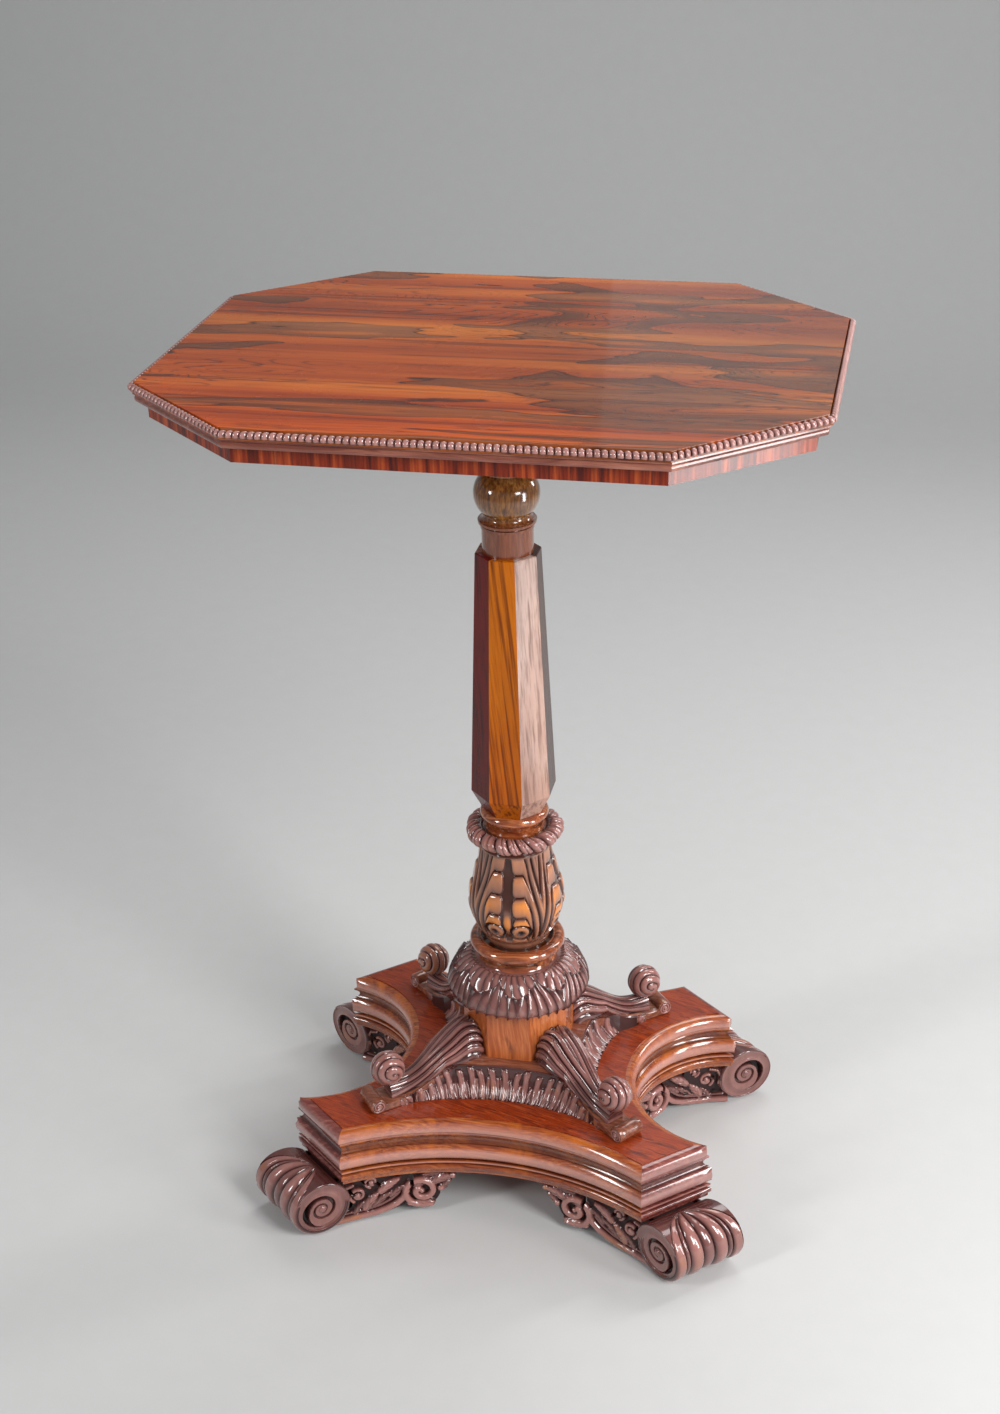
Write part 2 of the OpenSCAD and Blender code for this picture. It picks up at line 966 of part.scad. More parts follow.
// Curved wing under a concave side, cut off inside the roll: arc centre distance and radius.
// The child is the outline seen from that side.
module wing(along_y, c, r) {
    intersection() {
        translate(along_y ? [0, c, 0] : [c, 0, 0])
            difference() {
                cylinder(r = r + wing_t, h = foot_h, $fn = 180);
                translate([0, 0, -1])
                    cylinder(r = r, h = foot_h + 2, $fn = 180);
            }
        rotate(along_y ? [90, 0, 0] : [90, 0, 90])
            translate([0, 0, along_y ? -200 : 0])
                linear_extrude(200)
                    children();
        rotate([0, 0, end_angle])
            translate([0, -200, 0])
                cube([end_reach + (along_y ? 9 : 1), 400, foot_h]);
    }
}

// Outline of a wing: distance along the side and height, from the scroll end to the volute
module wing_outline(tip, scroll, finish) {
    scroll_r = 16;
    difference() {
        union() {
            translate([scroll, 4])
                square([finish - scroll, foot_h - 4]);
            translate([scroll, 4 + scroll_r])
                circle(scroll_r);
            polygon([[tip, foot_h], [tip, foot_h - 5], [scroll - 8, 12], [scroll + 10, foot_h - 10], [finish, foot_h]]);
        }
        translate([scroll, 4 + scroll_r])
            circle(3.5, $fn = 32);
        translate([scroll + 22, foot_h - 14])
            circle(4.5, $fn = 32);
        translate([scroll + 26, 15])
            circle(4, $fn = 32);
        translate([scroll + 38, foot_h - 12])
            circle(3.5, $fn = 32);
    }
}

module scroll_foot() {
    color(carved_rosewood)
        intersection() {
            difference() {
                union() {
                    rotate([0, 0, end_angle])
                        difference() {
                            union() {
                                foot_roll();
                                translate([140, -foot_centre_t - foot_w / 2, 12])
                                    cube([roll_n - 140, foot_w, foot_h - 12]);
                            }
                            roll_ends();
                        }
                    wing(true, front_c, front_r - wing_inset)
                        wing_outline(40, 68, inner_x + 10);
                    wing(false, side_c, side_r - wing_inset + 2)
                        wing_outline(30, 52, arm_y + 4);
                }
                rotate([0, 0, end_angle])
                    for (p = FOOT_SCREWS)
                        translate([p[0], p[1], 12])
                            screw_hole();
                rotate([0, 0, end_angle])
                    translate([0, -200, foot_h])
                        cube([end_reach + 5.6, 400, 20]);
            }
            translate([0, 0, 0])
                cube([300, 300, 100]);
        }
}

module foot_screws() {
    color(steel)
        foot_screw_places()
            translate([0, 0, 12])
                wood_screw(46);
}

top_board();
for (i = [0:7]) {
    bead_strip(i);
    edge_moulding(i);
    frieze_band(i);
}
bearer(-BEARER_X);  // bearer_left
bearer(BEARER_X);  // bearer_right
mounting_block();
top_screws();
column_capital();
column_shaft();
shaft_ring();
leaf_collar();
carved_baluster();
column_disc();
leaf_shoulder();
column_block();
base_mound();
carved_cove_front();
mirror([0, 1, 0]) carved_cove_front();  // carved_cove_back
carved_cove_right();
mirror([1, 0, 0]) carved_cove_right();  // carved_cove_left
platform_core();
platform_side_moulding_front();
mirror([0, 1, 0]) platform_side_moulding_front();  // platform_side_moulding_back
platform_side_moulding_right();
mirror([1, 0, 0]) platform_side_moulding_right();  // platform_side_moulding_left
for (k = [0:3]) {
    quarter(k) leaf_bracket();
    quarter(k) platform_end_moulding();
    quarter(k) scroll_foot();
}
foot_screws();
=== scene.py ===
# The looks of a wine table with a canted, beaded top, a faceted and carved column and four scroll feet.
import math

import bpy
import numpy as np
from mathutils import Matrix, Vector


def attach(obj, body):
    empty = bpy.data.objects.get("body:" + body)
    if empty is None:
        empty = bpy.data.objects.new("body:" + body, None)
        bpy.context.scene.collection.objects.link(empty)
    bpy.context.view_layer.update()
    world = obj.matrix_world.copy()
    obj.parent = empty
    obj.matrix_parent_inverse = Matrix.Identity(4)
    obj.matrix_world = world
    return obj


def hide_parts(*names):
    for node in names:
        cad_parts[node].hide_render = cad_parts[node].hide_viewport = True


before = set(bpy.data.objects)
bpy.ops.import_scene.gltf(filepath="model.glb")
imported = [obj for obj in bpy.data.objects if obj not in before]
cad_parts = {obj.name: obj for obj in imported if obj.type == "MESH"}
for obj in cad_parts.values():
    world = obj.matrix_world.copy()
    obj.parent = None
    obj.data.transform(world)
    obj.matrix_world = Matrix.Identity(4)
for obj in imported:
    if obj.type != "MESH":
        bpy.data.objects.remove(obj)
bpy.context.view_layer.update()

MM = 0.001
PI = math.pi
TAU = 2 * PI

# Measures of the solids, in millimetres, and directions seen from above

TOP_Z = 735.0
BASE_Z = 99.0  # the platform's top, on which the carved base stands
UNDER_Z = 43.9  # just under the platform, where the feet end
MOULDING_Z = 98.0  # the top of the platform's mouldings
SIDE_Y, SIDE_R = 340.5, 250.5  # centre and radius of the platform's front and back hollows
FLANK_X, FLANK_R = 188.8, 94.3  # the same for its left and right hollows
COVE_Y, COVE_X = 260.0, 187.5  # centres of the carved coves
TIP_X, TIP_Y = 164, 91  # an arm's corner
END_TURN = math.atan2(38, 33)  # the way an arm's straight end faces
REACH = TIP_X * math.cos(END_TURN) + TIP_Y * math.sin(END_TURN)  # from the axis to an arm's end
TONGUE_TURN = math.radians(40)  # the way the tongues and the brackets run
TONGUE_HALF = 12  # half of a tongue's width
ROLL_X, ROLL_Z = 141, 105.4  # the middle of the low roll in which a tongue ends
ALONG = np.array([math.cos(TONGUE_TURN), math.sin(TONGUE_TURN)])
ACROSS = np.array([-ALONG[1], ALONG[0]])
SPIN = Matrix.Rotation(TONGUE_TURN, 4, "Z")
MIRRORS = {"back_right": (1, 1), "back_left": (-1, 1), "front_left": (-1, -1), "front_right": (1, -1)}

# Mesh building, in millimetres


def lengths(p):
    """The length of a line from its start to each of its points."""
    return np.r_[0, np.cumsum(np.linalg.norm(np.diff(p, axis=0), axis=1))]


def resample(points, count):
    """The same line in evenly spaced points."""
    p = np.array(points, float)
    at = lengths(p)
    want = np.linspace(0, at[-1], count)
    return np.stack([np.interp(want, at, p[:, k]) for k in range(p.shape[1])], 1)


def smooth_curve(points, count):
    """A Catmull-Rom curve through the points, evenly spaced."""
    p = np.array(points, float)
    p = np.vstack([2 * p[0] - p[1], p, 2 * p[-1] - p[-2]])
    t = np.linspace(0, 1, 24, endpoint=False)[:, None]
    out = []
    for a, b, c, d in zip(p, p[1:], p[2:], p[3:]):
        out.append(
            0.5
            * (2 * b + (c - a) * t + (2 * a - 5 * b + 4 * c - d) * t**2 + (3 * b - a - 3 * c + d) * t**3)
        )
    return resample(np.vstack(out + [p[-2][None]]), count)


def arc_points(centre, radius, a0, a1, count):
    a = np.linspace(a0, a1, count)
    return np.stack([centre[0] + radius * np.cos(a), centre[1] + radius * np.sin(a)], 1)


def level(plan, z):
    """A line seen from above, laid at one height."""
    return np.column_stack([plan, np.full(len(plan), z)])


def xyz(x, y, z):
    return np.stack(np.broadcast_arrays(x, y, z), -1)


def link(name, data):
    ob = bpy.data.objects.new(name, data)
    bpy.context.scene.collection.objects.link(ob)
    return ob


class Shell:
    """Collects grids of points and faces into one mesh. relief is each point's tone, 0 to 1, which the materials turn
    into painted shade in the hollows and painted highlights on what stands out.
    """

    def __init__(self):
        self.points, self.relief, self.quads, self.rings, self.count = [], [], [], [], 0

    def store(self, p, relief):
        """Adds points and gives the number of the first."""
        self.points.append(p)
        self.relief.append(np.broadcast_to(relief, len(p)))
        self.count += len(p)
        return self.count - len(p)

    def grid(self, p, relief=0.5, close_u=False, close_v=False, flip=False):
        m, n = p.shape[:2]
        base = self.store(p.reshape(-1, 3), np.broadcast_to(relief, (m, n)).reshape(-1))
        i = np.arange(m if close_u else m - 1)
        j = np.arange(n if close_v else n - 1)
        i, j = np.meshgrid(i, j, indexing="ij")
        i2, j2 = (i + 1) % m, (j + 1) % n
        q = np.stack([i * n + j, i2 * n + j, i2 * n + j2, i * n + j2], -1).reshape(-1, 4) + base
        self.quads.append(q[:, ::-1] if flip else q)
        return np.arange(m * n).reshape(m, n) + base

    def ring(self, ids, flip=False):
        self.rings.append(list(ids)[::-1] if flip else list(ids))

    def caps(self, first, last, flip=False):
        """Closes both ends of a grid."""
        self.ring(first, flip)
        self.ring(last, not flip)

    def build(self, name, material, nodes=(), angle=40, matrix=None, slot="carved_wood"):
        v = np.vstack(self.points)
        if matrix is not None:
            v = v @ np.array(matrix)[:3, :3].T + np.array(matrix)[:3, 3]
        quads = np.vstack(self.quads)
        totals = np.r_[np.full(len(quads), 4), [len(r) for r in self.rings]].astype(np.int32)
        loops = np.concatenate([quads.reshape(-1)] + [np.array(r) for r in self.rings]).astype(np.int32)
        me = bpy.data.meshes.new(name)
        me.vertices.add(len(v))
        me.vertices.foreach_set("co", (v * MM).astype(np.float32).ravel())
        me.loops.add(len(loops))
        me.loops.foreach_set("vertex_index", loops)
        me.polygons.add(len(totals))
        me.polygons.foreach_set("loop_start", np.r_[0, np.cumsum(totals)[:-1]].astype(np.int32))
        me.polygons.foreach_set("loop_total", totals)
        me.update(calc_edges=True)
        me.validate()
        me.shade_smooth()
        me.set_sharp_from_angle(angle=math.radians(angle))
        at = me.attributes.new("relief", "FLOAT", "POINT")
        at.data.foreach_set("value", np.concatenate(self.relief).astype(np.float32))
        if matrix is not None and np.linalg.det(np.array(matrix)[:3, :3]) < 0:
            me.flip_normals()
        me.materials.append(material)
        ob = link(name, me)
        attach(ob, "root")
        if nodes:
            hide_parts(*nodes)

    def build_four(self, name, node=None, angle=40, spin=Matrix.Identity(4)):
        """The piece at the back right, and its mirror images at the other corners."""
        for corner, (sx, sy) in MIRRORS.items():
            nodes = [node + corner] if node else ()
            self.build(name + corner, CARVED, nodes, angle, Matrix.Diagonal((sx, sy, 1, 1)) @ spin)


def normals_of(p):
    """Unit normals of a grid of points, from its neighbours."""
    n = np.cross(np.gradient(p, axis=0), np.gradient(p, axis=1))
    return n / np.maximum(np.linalg.norm(n, axis=-1, keepdims=True), 1e-9)


def unit(x):
    return np.clip(x, 0, 1)


def saw(x):
    return x - np.floor(x)


def bump(x, width):
    return np.exp(-((x / width) ** 2))


def dome(x, power=2.0):
    return np.sqrt(unit(1 - np.abs(x) ** power))


def step(x, low, high):
    t = unit((x - low) / (high - low))
    return t * t * (3 - 2 * t)


# Materials. wood and carved take colours from 0 to 255. A ramp's stop is a place and a colour or grey


def srgb(*c):
    return tuple(((x / 255 + 0.055) / 1.055) ** 2.4 if x > 10 else x / 255 / 12.92 for x in c) + (1,)


class Tree:
    """Short calls for a material's nodes."""

    def __init__(self, name):
        self.material = bpy.data.materials.new(name)
        self.material.use_nodes = True
        self.t = self.material.node_tree
        self.t.nodes.clear()
        self.out = self.t.nodes.new("ShaderNodeOutputMaterial")

    def feed(self, node, inputs):
        """Sets each input to a constant, or links it to a socket."""
        for k, v in inputs.items():
            if isinstance(v, bpy.types.NodeSocket):
                self.t.links.new(v, node.inputs[k])
            else:
                node.inputs[k].default_value = v
        return node

    def add(self, kind, inputs=None, **props):
        n = self.t.nodes.new("ShaderNode" + kind)
        for k, v in props.items():
            setattr(n, k, v)
        return self.feed(n, inputs or {})

    def ramp(self, fac, stops, mode="LINEAR"):
        n = self.add("ValToRGB", {0: fac})
        n.color_ramp.interpolation = mode
        while len(n.color_ramp.elements) < len(stops):
            n.color_ramp.elements.new(0.5)
        for e, (at, colour) in zip(n.color_ramp.elements, stops):
            e.position = at
            e.color = (*(colour[:3] if isinstance(colour, tuple) else (colour,) * 3), 1)
        return n.outputs[0]

    def mix(self, fac, a, b, mode="MIX"):
        return self.add("Mix", {0: fac, 6: a, 7: b}, data_type="RGBA", blend_type=mode).outputs[2]

    def shade(self, fac, colour, value, stops):
        """The colour multiplied by a ramp of the value."""
        return self.mix(fac, colour, self.ramp(value, stops), "MULTIPLY")

    def math(self, op, a, b=0.0, c=0.0):
        return self.add("Math", {0: a, 1: b, 2: c}, operation=op).outputs[0]

    def weigh(self, a, part_a, b, part_b):
        return self.math("ADD", self.math("MULTIPLY", a, part_a), self.math("MULTIPLY", b, part_b))

    def vector(self, op, a, b):
        return self.add("VectorMath", {0: a, 1: b}, operation=op).outputs[0]

    def split(self, vector):
        return self.add("SeparateXYZ", {0: vector}).outputs

    def join(self, x, y, z):
        return self.add("CombineXYZ", {0: x, 1: y, 2: z}).outputs[0]

    def span(self, value, low, high, to_low=0.0, to_high=1.0):
        """Carries a value from one range to another and holds it there."""
        limits = {"From Min": low, "From Max": high, "To Min": to_low, "To Max": to_high}
        return self.add("MapRange", {"Value": value, **limits}).outputs[0]

    def relief(self):
        return self.add("Attribute", attribute_name="relief").outputs["Fac"]

    def noise(self, vector, scale, detail, rough=0.55, distort=0.0):
        inputs = {"Vector": vector, "Scale": scale, "Detail": detail, "Roughness": rough, "Distortion": distort}
        return self.add("TexNoise", inputs).outputs[0]

    def place(self, scale=(1, 1, 1), turn=(0, 0, 0), source=None):
        source = source or self.add("TexCoord").outputs["Object"]
        return self.add("Mapping", {"Vector": source, "Rotation": turn, "Scale": scale}).outputs[0]

    def drawn(self, source, scale, *noise):
        """Noise with its own scale along each axis."""
        return self.noise(self.place(scale, source=source), 1.0, *noise)

    def finish(self, colour, rough, coat, coat_rough=0.08, height=None, strength=None, distance=0.0002, spec=0.4):
        inputs = {"Base Color": colour, "Roughness": rough, "Coat Weight": coat, "Coat Roughness": coat_rough}
        self.shader = self.add("BsdfPrincipled", {**inputs, "Specular IOR Level": spec})
        if height is not None:
            relief = self.add("Bump", {"Height": height, "Strength": strength, "Distance": distance})
            self.feed(self.shader, {"Normal": relief.outputs[0]})
        self.feed(self.out, {0: self.shader.outputs[0]})
        return self.material


def wood(
    name, tones, streak, along="x", turn=(0, 0, 0), size=1.0, streaks=0.5, sharp=0.12, coat=0.35, rough=0.3,
    mottle=None, wear_and_highlight=None, low=None,
):
    """Polished wood with its grain along one axis after the turn. tones are three colours, streak the dark figure.

    mottle is a second colour in clouds, moulded that of the raised edges of a moulding, partly rubbed wear and partly
    a painted highlight, laid over painted shade in its hollows, and low that of the part under the ball."""
    t = Tree(name)
    base = t.place(turn=turn)
    swirl = t.add("TexNoise", {"Vector": base, "Scale": 7.0 / size, "Detail": 2.0}).outputs[1]
    warped = t.vector("ADD", base, t.vector("MULTIPLY", swirl, (0.03 * size,) * 3))

    def lengthwise(across, source, *noise):
        return t.noise(t.place([1 if axis == along else across for axis in "xyz"], source=source), *noise)

    figure = lengthwise(9, warped, 3.2 / size, 3.0, 0.5, 0.8)
    second = lengthwise(9, warped, 5.1 / size, 4.0, 0.6, 1.5)
    grain = lengthwise(26, warped, 9.0 / size, 6.0, 0.6)
    pores = lengthwise(70, base, 22.0, 3.0, 0.6)
    tones = [srgb(*c) for c in tones]
    colour = t.ramp(t.weigh(grain, 0.62, figure, 0.38), list(zip((0.3, 0.5, 0.68), tones)))
    if mottle:
        blotch = t.noise(t.place(source=base), 9.0 / size, 3.0, 0.6, 1.2)
        colour = t.mix(t.ramp(blotch, [(0.48, 0), (0.7, 1)]), colour, srgb(*mottle))
    mask = t.ramp(t.weigh(figure, 0.45, second, 0.55), [(streaks, 0), (min(streaks + sharp, 1.0), 1)])
    colour = t.mix(mask, colour, srgb(*streak))
    colour = t.shade(0.55, colour, pores, [(0.3, (0.45, 0.4, 0.4)), (0.45, 1)])
    if low:
        colour = t.mix(t.ramp(t.split(base)[2], [(0.603, 0.75), (0.607, 0)]), colour, srgb(*low))
        colour = t.shade(0.5, colour, grain, [(0.35, (0.4, 0.3, 0.3)), (0.6, 1)])
    if wear_and_highlight:
        # painted shade and highlight: the moulding's hollows are darkened by the relief tone, and its raised edges
        # turn towards a pale mauve that is partly rubbed wear and partly a painted highlight
        relief = t.relief()
        colour = t.shade(1.0, colour, relief, [(0.0, (0.16, 0.12, 0.13)), (0.4, (0.8, 0.76, 0.78)), (0.7, 1)])
        colour = t.mix(t.ramp(relief, [(0.72, 0), (1.0, 0.5)]), colour, srgb(*wear_and_highlight))
    r = t.math("MULTIPLY_ADD", t.noise(base, 14.0, 3.0), 0.18, rough - 0.09)
    return t.finish(colour, r, coat, height=pores, strength=0.12, distance=0.0003)


def carved(name, tones, rough, gold=None, gold_low=0.5, gold_band=None):
    """Polished carved wood: painted shade in the cuts, painted highlights and in places golden wear on what stands
    out.

    gold_low is where golden spots start in the noise, gold_band the heights in metres that its bands span."""
    t = Tree(name)
    base = t.place()
    relief = t.relief()
    blotch = t.noise(base, 28.0, 4.0, 0.6, 0.6)
    grain = t.noise(t.place((1, 1, 0.16)), 190.0, 4.0, 0.6)
    # painted shade and highlight: the relief tone runs the colour from near black in the cuts to a pale highlight
    # tone on the ridges
    at = t.math("ADD", t.math("MULTIPLY_ADD", blotch, 0.36, -0.18), relief)
    colour = t.ramp(at, [(place, srgb(*c)) for place, c in zip((0.04, 0.42, 0.95), tones)])
    if gold:
        spots = t.ramp(t.noise(base, 21.0, 2.0), [(gold_low, 0), (gold_low + 0.14, 1)])
        amount = t.math("MULTIPLY", spots, t.ramp(relief, [(0.62, 0), (0.85, 0.85)]))
        if gold_band:
            height = t.span(t.split(base)[2], *gold_band)
            bands = t.ramp(height, [(0.1, 0.2), (0.24, 1), (0.5, 1), (0.6, 0.15), (0.8, 0.3), (1.0, 0.1)])
            amount = t.math("MULTIPLY", amount, bands)
        colour = t.mix(amount, colour, srgb(*gold))
    colour = t.shade(0.45, colour, grain, [(0.3, (0.6, 0.55, 0.55)), (0.6, 1)])
    dull = t.ramp(relief, [(0.05, 0.35), (0.35, 0)])
    r = t.math("ADD", t.math("MULTIPLY_ADD", blotch, 0.16, rough - 0.08), dull)
    height = t.math("ADD", grain, blotch)
    t.finish(colour, r, 1.0, coat_rough=0.09, height=height, strength=0.16, distance=0.0003)
    t.feed(t.shader, {"Coat Weight": t.ramp(relief, [(0.1, 0.05), (0.42, 1)])})
    return t.material


def top_wood():
    """Rosewood veneer: smooth islands of dark figure with contour lines, long bands along the front edge."""
    t = Tree("rosewood_top")
    base = t.place()
    x, y, _ = t.split(base)
    # the figure is stretched more and more towards the front edge
    long = t.span(y, -0.17, -0.06, 0.9, 5.2)
    wave = t.drawn(base, (6, 14, 1), 2.0, 0.5)
    row = t.math("MULTIPLY_ADD", wave, 0.5, t.math("MULTIPLY", y, 21.0))
    field = t.noise(t.join(t.math("MULTIPLY_ADD", x, long, 3.1), row, 2.3), 1.0, 2.4, 0.46, 0.5)
    small = t.drawn(base, (14, 60, 1), 3.0, 0.6)
    bias = t.math("ADD", t.span(y, -0.19, -0.07, -0.08, 0.0), t.span(x, -0.2, 0.2, -0.012, 0.02))
    f = t.math("ADD", t.math("MULTIPLY_ADD", small, 0.05, field), bias)
    island = t.ramp(f, [(0.56, 0), (0.568, 1), (0.64, 0.85), (0.69, 0.1)])
    bands = t.drawn(base, (1.2, 34, 1), 3.0, 0.55)
    orange = t.ramp(bands, [(0.3, srgb(158, 60, 16)), (0.5, srgb(208, 95, 27)), (0.68, srgb(238, 131, 46))])
    brown = t.ramp(bands, [(0.3, srgb(108, 54, 30)), (0.55, srgb(148, 84, 48)), (0.7, srgb(172, 104, 64))])
    colour = t.mix(island, orange, brown)
    # contour lines of the same field, and a dark border round each island
    lines = t.math("ABSOLUTE", t.math("SUBTRACT", t.math("FRACT", t.math("MULTIPLY", f, 34.0)), 0.5))
    fade = t.ramp(t.drawn(base, (5, 16, 1), 2.0), [(0.42, 0), (0.62, 1)])
    line_mask = t.math("MULTIPLY", t.ramp(lines, [(0.0, 0.75), (0.16, 0)]), fade)
    colour = t.mix(line_mask, colour, srgb(72, 34, 26))
    colour = t.mix(t.ramp(f, [(0.55, 0), (0.559, 1), (0.569, 0)]), colour, srgb(66, 28, 22))
    streak = t.ramp(t.drawn(base, (3.0, 150, 1), 3.0, 0.6, 0.3), [(0.58, 0), (0.66, 0.6)])
    colour = t.mix(streak, colour, srgb(96, 40, 28))
    fine = t.drawn(base, (22, 900, 1), 3.0, 0.6)
    colour = t.shade(0.5, colour, fine, [(0.3, (0.6, 0.55, 0.52)), (0.5, 1)])
    wide = t.drawn(base, (3.2, 4.4, 1), 1.0)
    colour = t.shade(0.7, colour, wide, [(0.35, (0.66, 0.58, 0.56)), (0.62, 1)])
    # painted reflection: the veneer is made paler and more golden along the front edge, greyer towards the back and
    # darker to the right, where the polished top reflects the lights and the room differently
    painted_reflection_rows = [(0.08, (1, 0.86, 0.66)), (0.3, (0.84, 0.82, 0.78)), (0.5, (0.76, 0.81, 0.86)), (0.8, (0.74, 0.72, 0.66))]
    colour = t.shade(1.0, colour, t.span(y, -0.2, 0.2), painted_reflection_rows)
    # painted reflection: the right part of the top is darkened
    deep = t.span(x, 0.0, 0.13, 1.0, 0.7)
    deep = t.add("CombineColor", {0: deep, 1: deep, 2: deep}).outputs[0]
    colour = t.mix(1.0, colour, deep, "MULTIPLY")
    r = t.math("MULTIPLY_ADD", t.noise(base, 30.0, 3.0), 0.12, 0.2)
    return t.finish(colour, r, 0.22, coat_rough=0.05, height=fine, strength=0.05, spec=0.14)


def frieze_wood():
    """Crossbanded veneer: the grain stands upright on every side."""
    t = Tree("crossbanding")
    base = t.place()
    wide = t.drawn(base, (190, 190, 9), 4.0, 0.6)
    fine = t.drawn(base, (520, 520, 14), 3.0, 0.6)
    colour = t.ramp(wide, [(0.32, srgb(70, 16, 8)), (0.5, srgb(128, 42, 16)), (0.66, srgb(172, 76, 34))])
    dark = t.ramp(t.drawn(base, (260, 260, 12), 3.0, 0.6), [(0.57, 0), (0.66, 0.6)])
    colour = t.mix(dark, colour, srgb(62, 20, 20))
    colour = t.shade(0.5, colour, fine, [(0.3, (0.5, 0.45, 0.45)), (0.5, 1)])
    return t.finish(colour, 0.26, 0.25, height=fine, strength=0.08, spec=0.25)


def shaft_wood():
    """Each of the eight flats has its own tone, painted as lit or shaded: golden on the front flat, a pale painted
    sheen on the front-right flat, painted shade on the front-left and right flats. Fine grain slants down each flat.
    """
    t = Tree("shaft_rosewood")
    base = t.place()
    x, y, z = t.split(base)
    # nine bands of direction: the left flat is cut in two where the angle jumps
    flat = t.math("FLOOR", t.math("MULTIPLY_ADD", t.math("ARCTAN2", y, x), 8 / TAU, 4.5))
    pick = t.math("DIVIDE", t.math("ADD", flat, 0.5), 9.0)
    # painted light and shade: each flat's tone stands for how much light it catches, the pale fourth one being a
    # painted sheen
    tones = [
        (150, 88, 54), (100, 12, 4), (184, 99, 9), (186, 160, 150), (72, 46, 38), (120, 52, 30), (176, 94, 30),
        (128, 64, 44), (150, 88, 54),
    ]
    colour = t.ramp(pick, [(i / 9, srgb(*c)) for i, c in enumerate(tones)], "CONSTANT")
    seat = t.join(x, y, t.math("MULTIPLY_ADD", flat, 0.3, z))
    slant = t.place(turn=(0.05, 0.1, 0), source=seat)
    lines = t.drawn(slant, (330, 330, 6.0), 3.0, 0.55, 0.25)
    broad = t.drawn(slant, (44, 44, 3.4), 3.0, 0.55, 0.4)
    fine = t.drawn(slant, (700, 700, 26), 3.0, 0.6)
    colour = t.shade(0.6, colour, broad, [(0.3, (0.5, 0.42, 0.4)), (0.52, 1), (0.7, (1.25, 1.2, 1.15))])
    # the grain lines are fainter on the flat with the painted sheen
    plain = t.ramp(pick, [(0.0, 0.9), (3 / 9, 0.6), (5 / 9, 0.9)], "CONSTANT")
    colour = t.shade(plain, colour, lines, [(0.36, (0.34, 0.26, 0.24)), (0.5, 1)])
    colour = t.shade(0.45, colour, fine, [(0.32, (0.5, 0.45, 0.42)), (0.5, 1)])
    # darker towards the foot, in clouds
    cloud = t.drawn(base, (26, 26, 14), 4.0, 0.65)
    fall = t.math("ADD", t.span(z, 0.36, 0.54), t.math("MULTIPLY_ADD", cloud, 1.4, -0.7))
    colour = t.shade(0.8, colour, fall, [(0.1, (0.76, 0.58, 0.5)), (0.85, 1)])
    r = t.math("MULTIPLY_ADD", broad, 0.16, 0.2)
    return t.finish(colour, r, 0.1, coat_rough=0.1, height=fine, strength=0.1, spec=0.2)


def steel():
    t = Tree("screw_steel")
    n = t.noise(t.place((1, 1, 8)), 300.0, 3.0)
    colour = t.ramp(n, [(0.3, srgb(110, 108, 104)), (0.7, srgb(160, 158, 152))])
    rough = t.math("MULTIPLY_ADD", n, 0.3, 0.25)
    shader = t.add("BsdfPrincipled", {"Metallic": 1.0, "Base Color": colour, "Roughness": rough})
    t.feed(t.out, {0: shader.outputs[0]})
    return t.material


TOP, BAND, SHAFT, STEEL = top_wood(), frieze_wood(), shaft_wood(), steel()
EDGE = wood(
    "dark_rosewood", [(72, 28, 22), (122, 66, 52), (172, 110, 90)], (52, 18, 16), streaks=0.58, coat=0.6, rough=0.2
)
PLAIN = wood(
    "secondary_wood", [(120, 84, 52), (150, 110, 70), (176, 134, 90)], (96, 64, 40), "y", coat=0.05, rough=0.6
)
TURNED = wood(
    "turned_rosewood", [(80, 28, 14), (144, 72, 38), (200, 128, 78)], (50, 16, 10),
    size=0.5, streaks=0.52, coat=1.0, rough=0.12,
)
KNOP = wood(
    "capital_rosewood", [(70, 36, 18), (130, 84, 40), (178, 122, 60)], (46, 20, 14), "z",
    size=0.5, streaks=0.55, coat=0.9, rough=0.13, low=(128, 62, 40),
)
BLOCK = wood(
    "block_rosewood", [(124, 54, 26), (176, 92, 46), (204, 124, 72)], (86, 36, 22), "z",
    size=0.7, streaks=0.56, coat=0.4, rough=0.26,
)
SIDE = wood(
    "platform_rosewood", [(92, 34, 24), (154, 76, 40), (204, 122, 60)], (74, 28, 24),
    size=0.35, streaks=0.57, coat=0.9, rough=0.16, mottle=(188, 100, 36), wear_and_highlight=(204, 158, 150),
)
DECK = wood(
    "platform_veneer", [(96, 28, 10), (148, 54, 20), (184, 84, 36)], (84, 24, 14),
    turn=(0, 0, 0.3), size=0.17, streaks=0.49, sharp=0.17, coat=0.3, rough=0.26,
)
END = wood(
    "arm_end_rosewood", [(70, 22, 22), (122, 58, 50), (166, 106, 92)], (46, 14, 16),
    size=0.6, streaks=0.6, coat=0.9, rough=0.16, wear_and_highlight=(190, 150, 144),
)
MOUND = wood(
    "mound_rosewood", [(78, 36, 26), (126, 72, 52), (166, 106, 80)], (52, 22, 20),
    size=0.6, streaks=0.58, coat=0.6, rough=0.2,
)
# in each carved material the first tone is painted shade in the cuts and the last a painted highlight on the ridges
BEAD = carved("bead_rosewood", [(28, 10, 10), (100, 52, 48), (178, 128, 120)], 0.15)
CARVED = carved("carved_rosewood", [(24, 10, 10), (82, 43, 40), (164, 112, 104)], 0.17, (168, 104, 58), 0.56)
GILT = carved(
    "carved_baluster_wood", [(20, 9, 7), (80, 43, 33), (178, 122, 96)], 0.14, (226, 132, 20), 0.4, (0.237, 0.318)
)

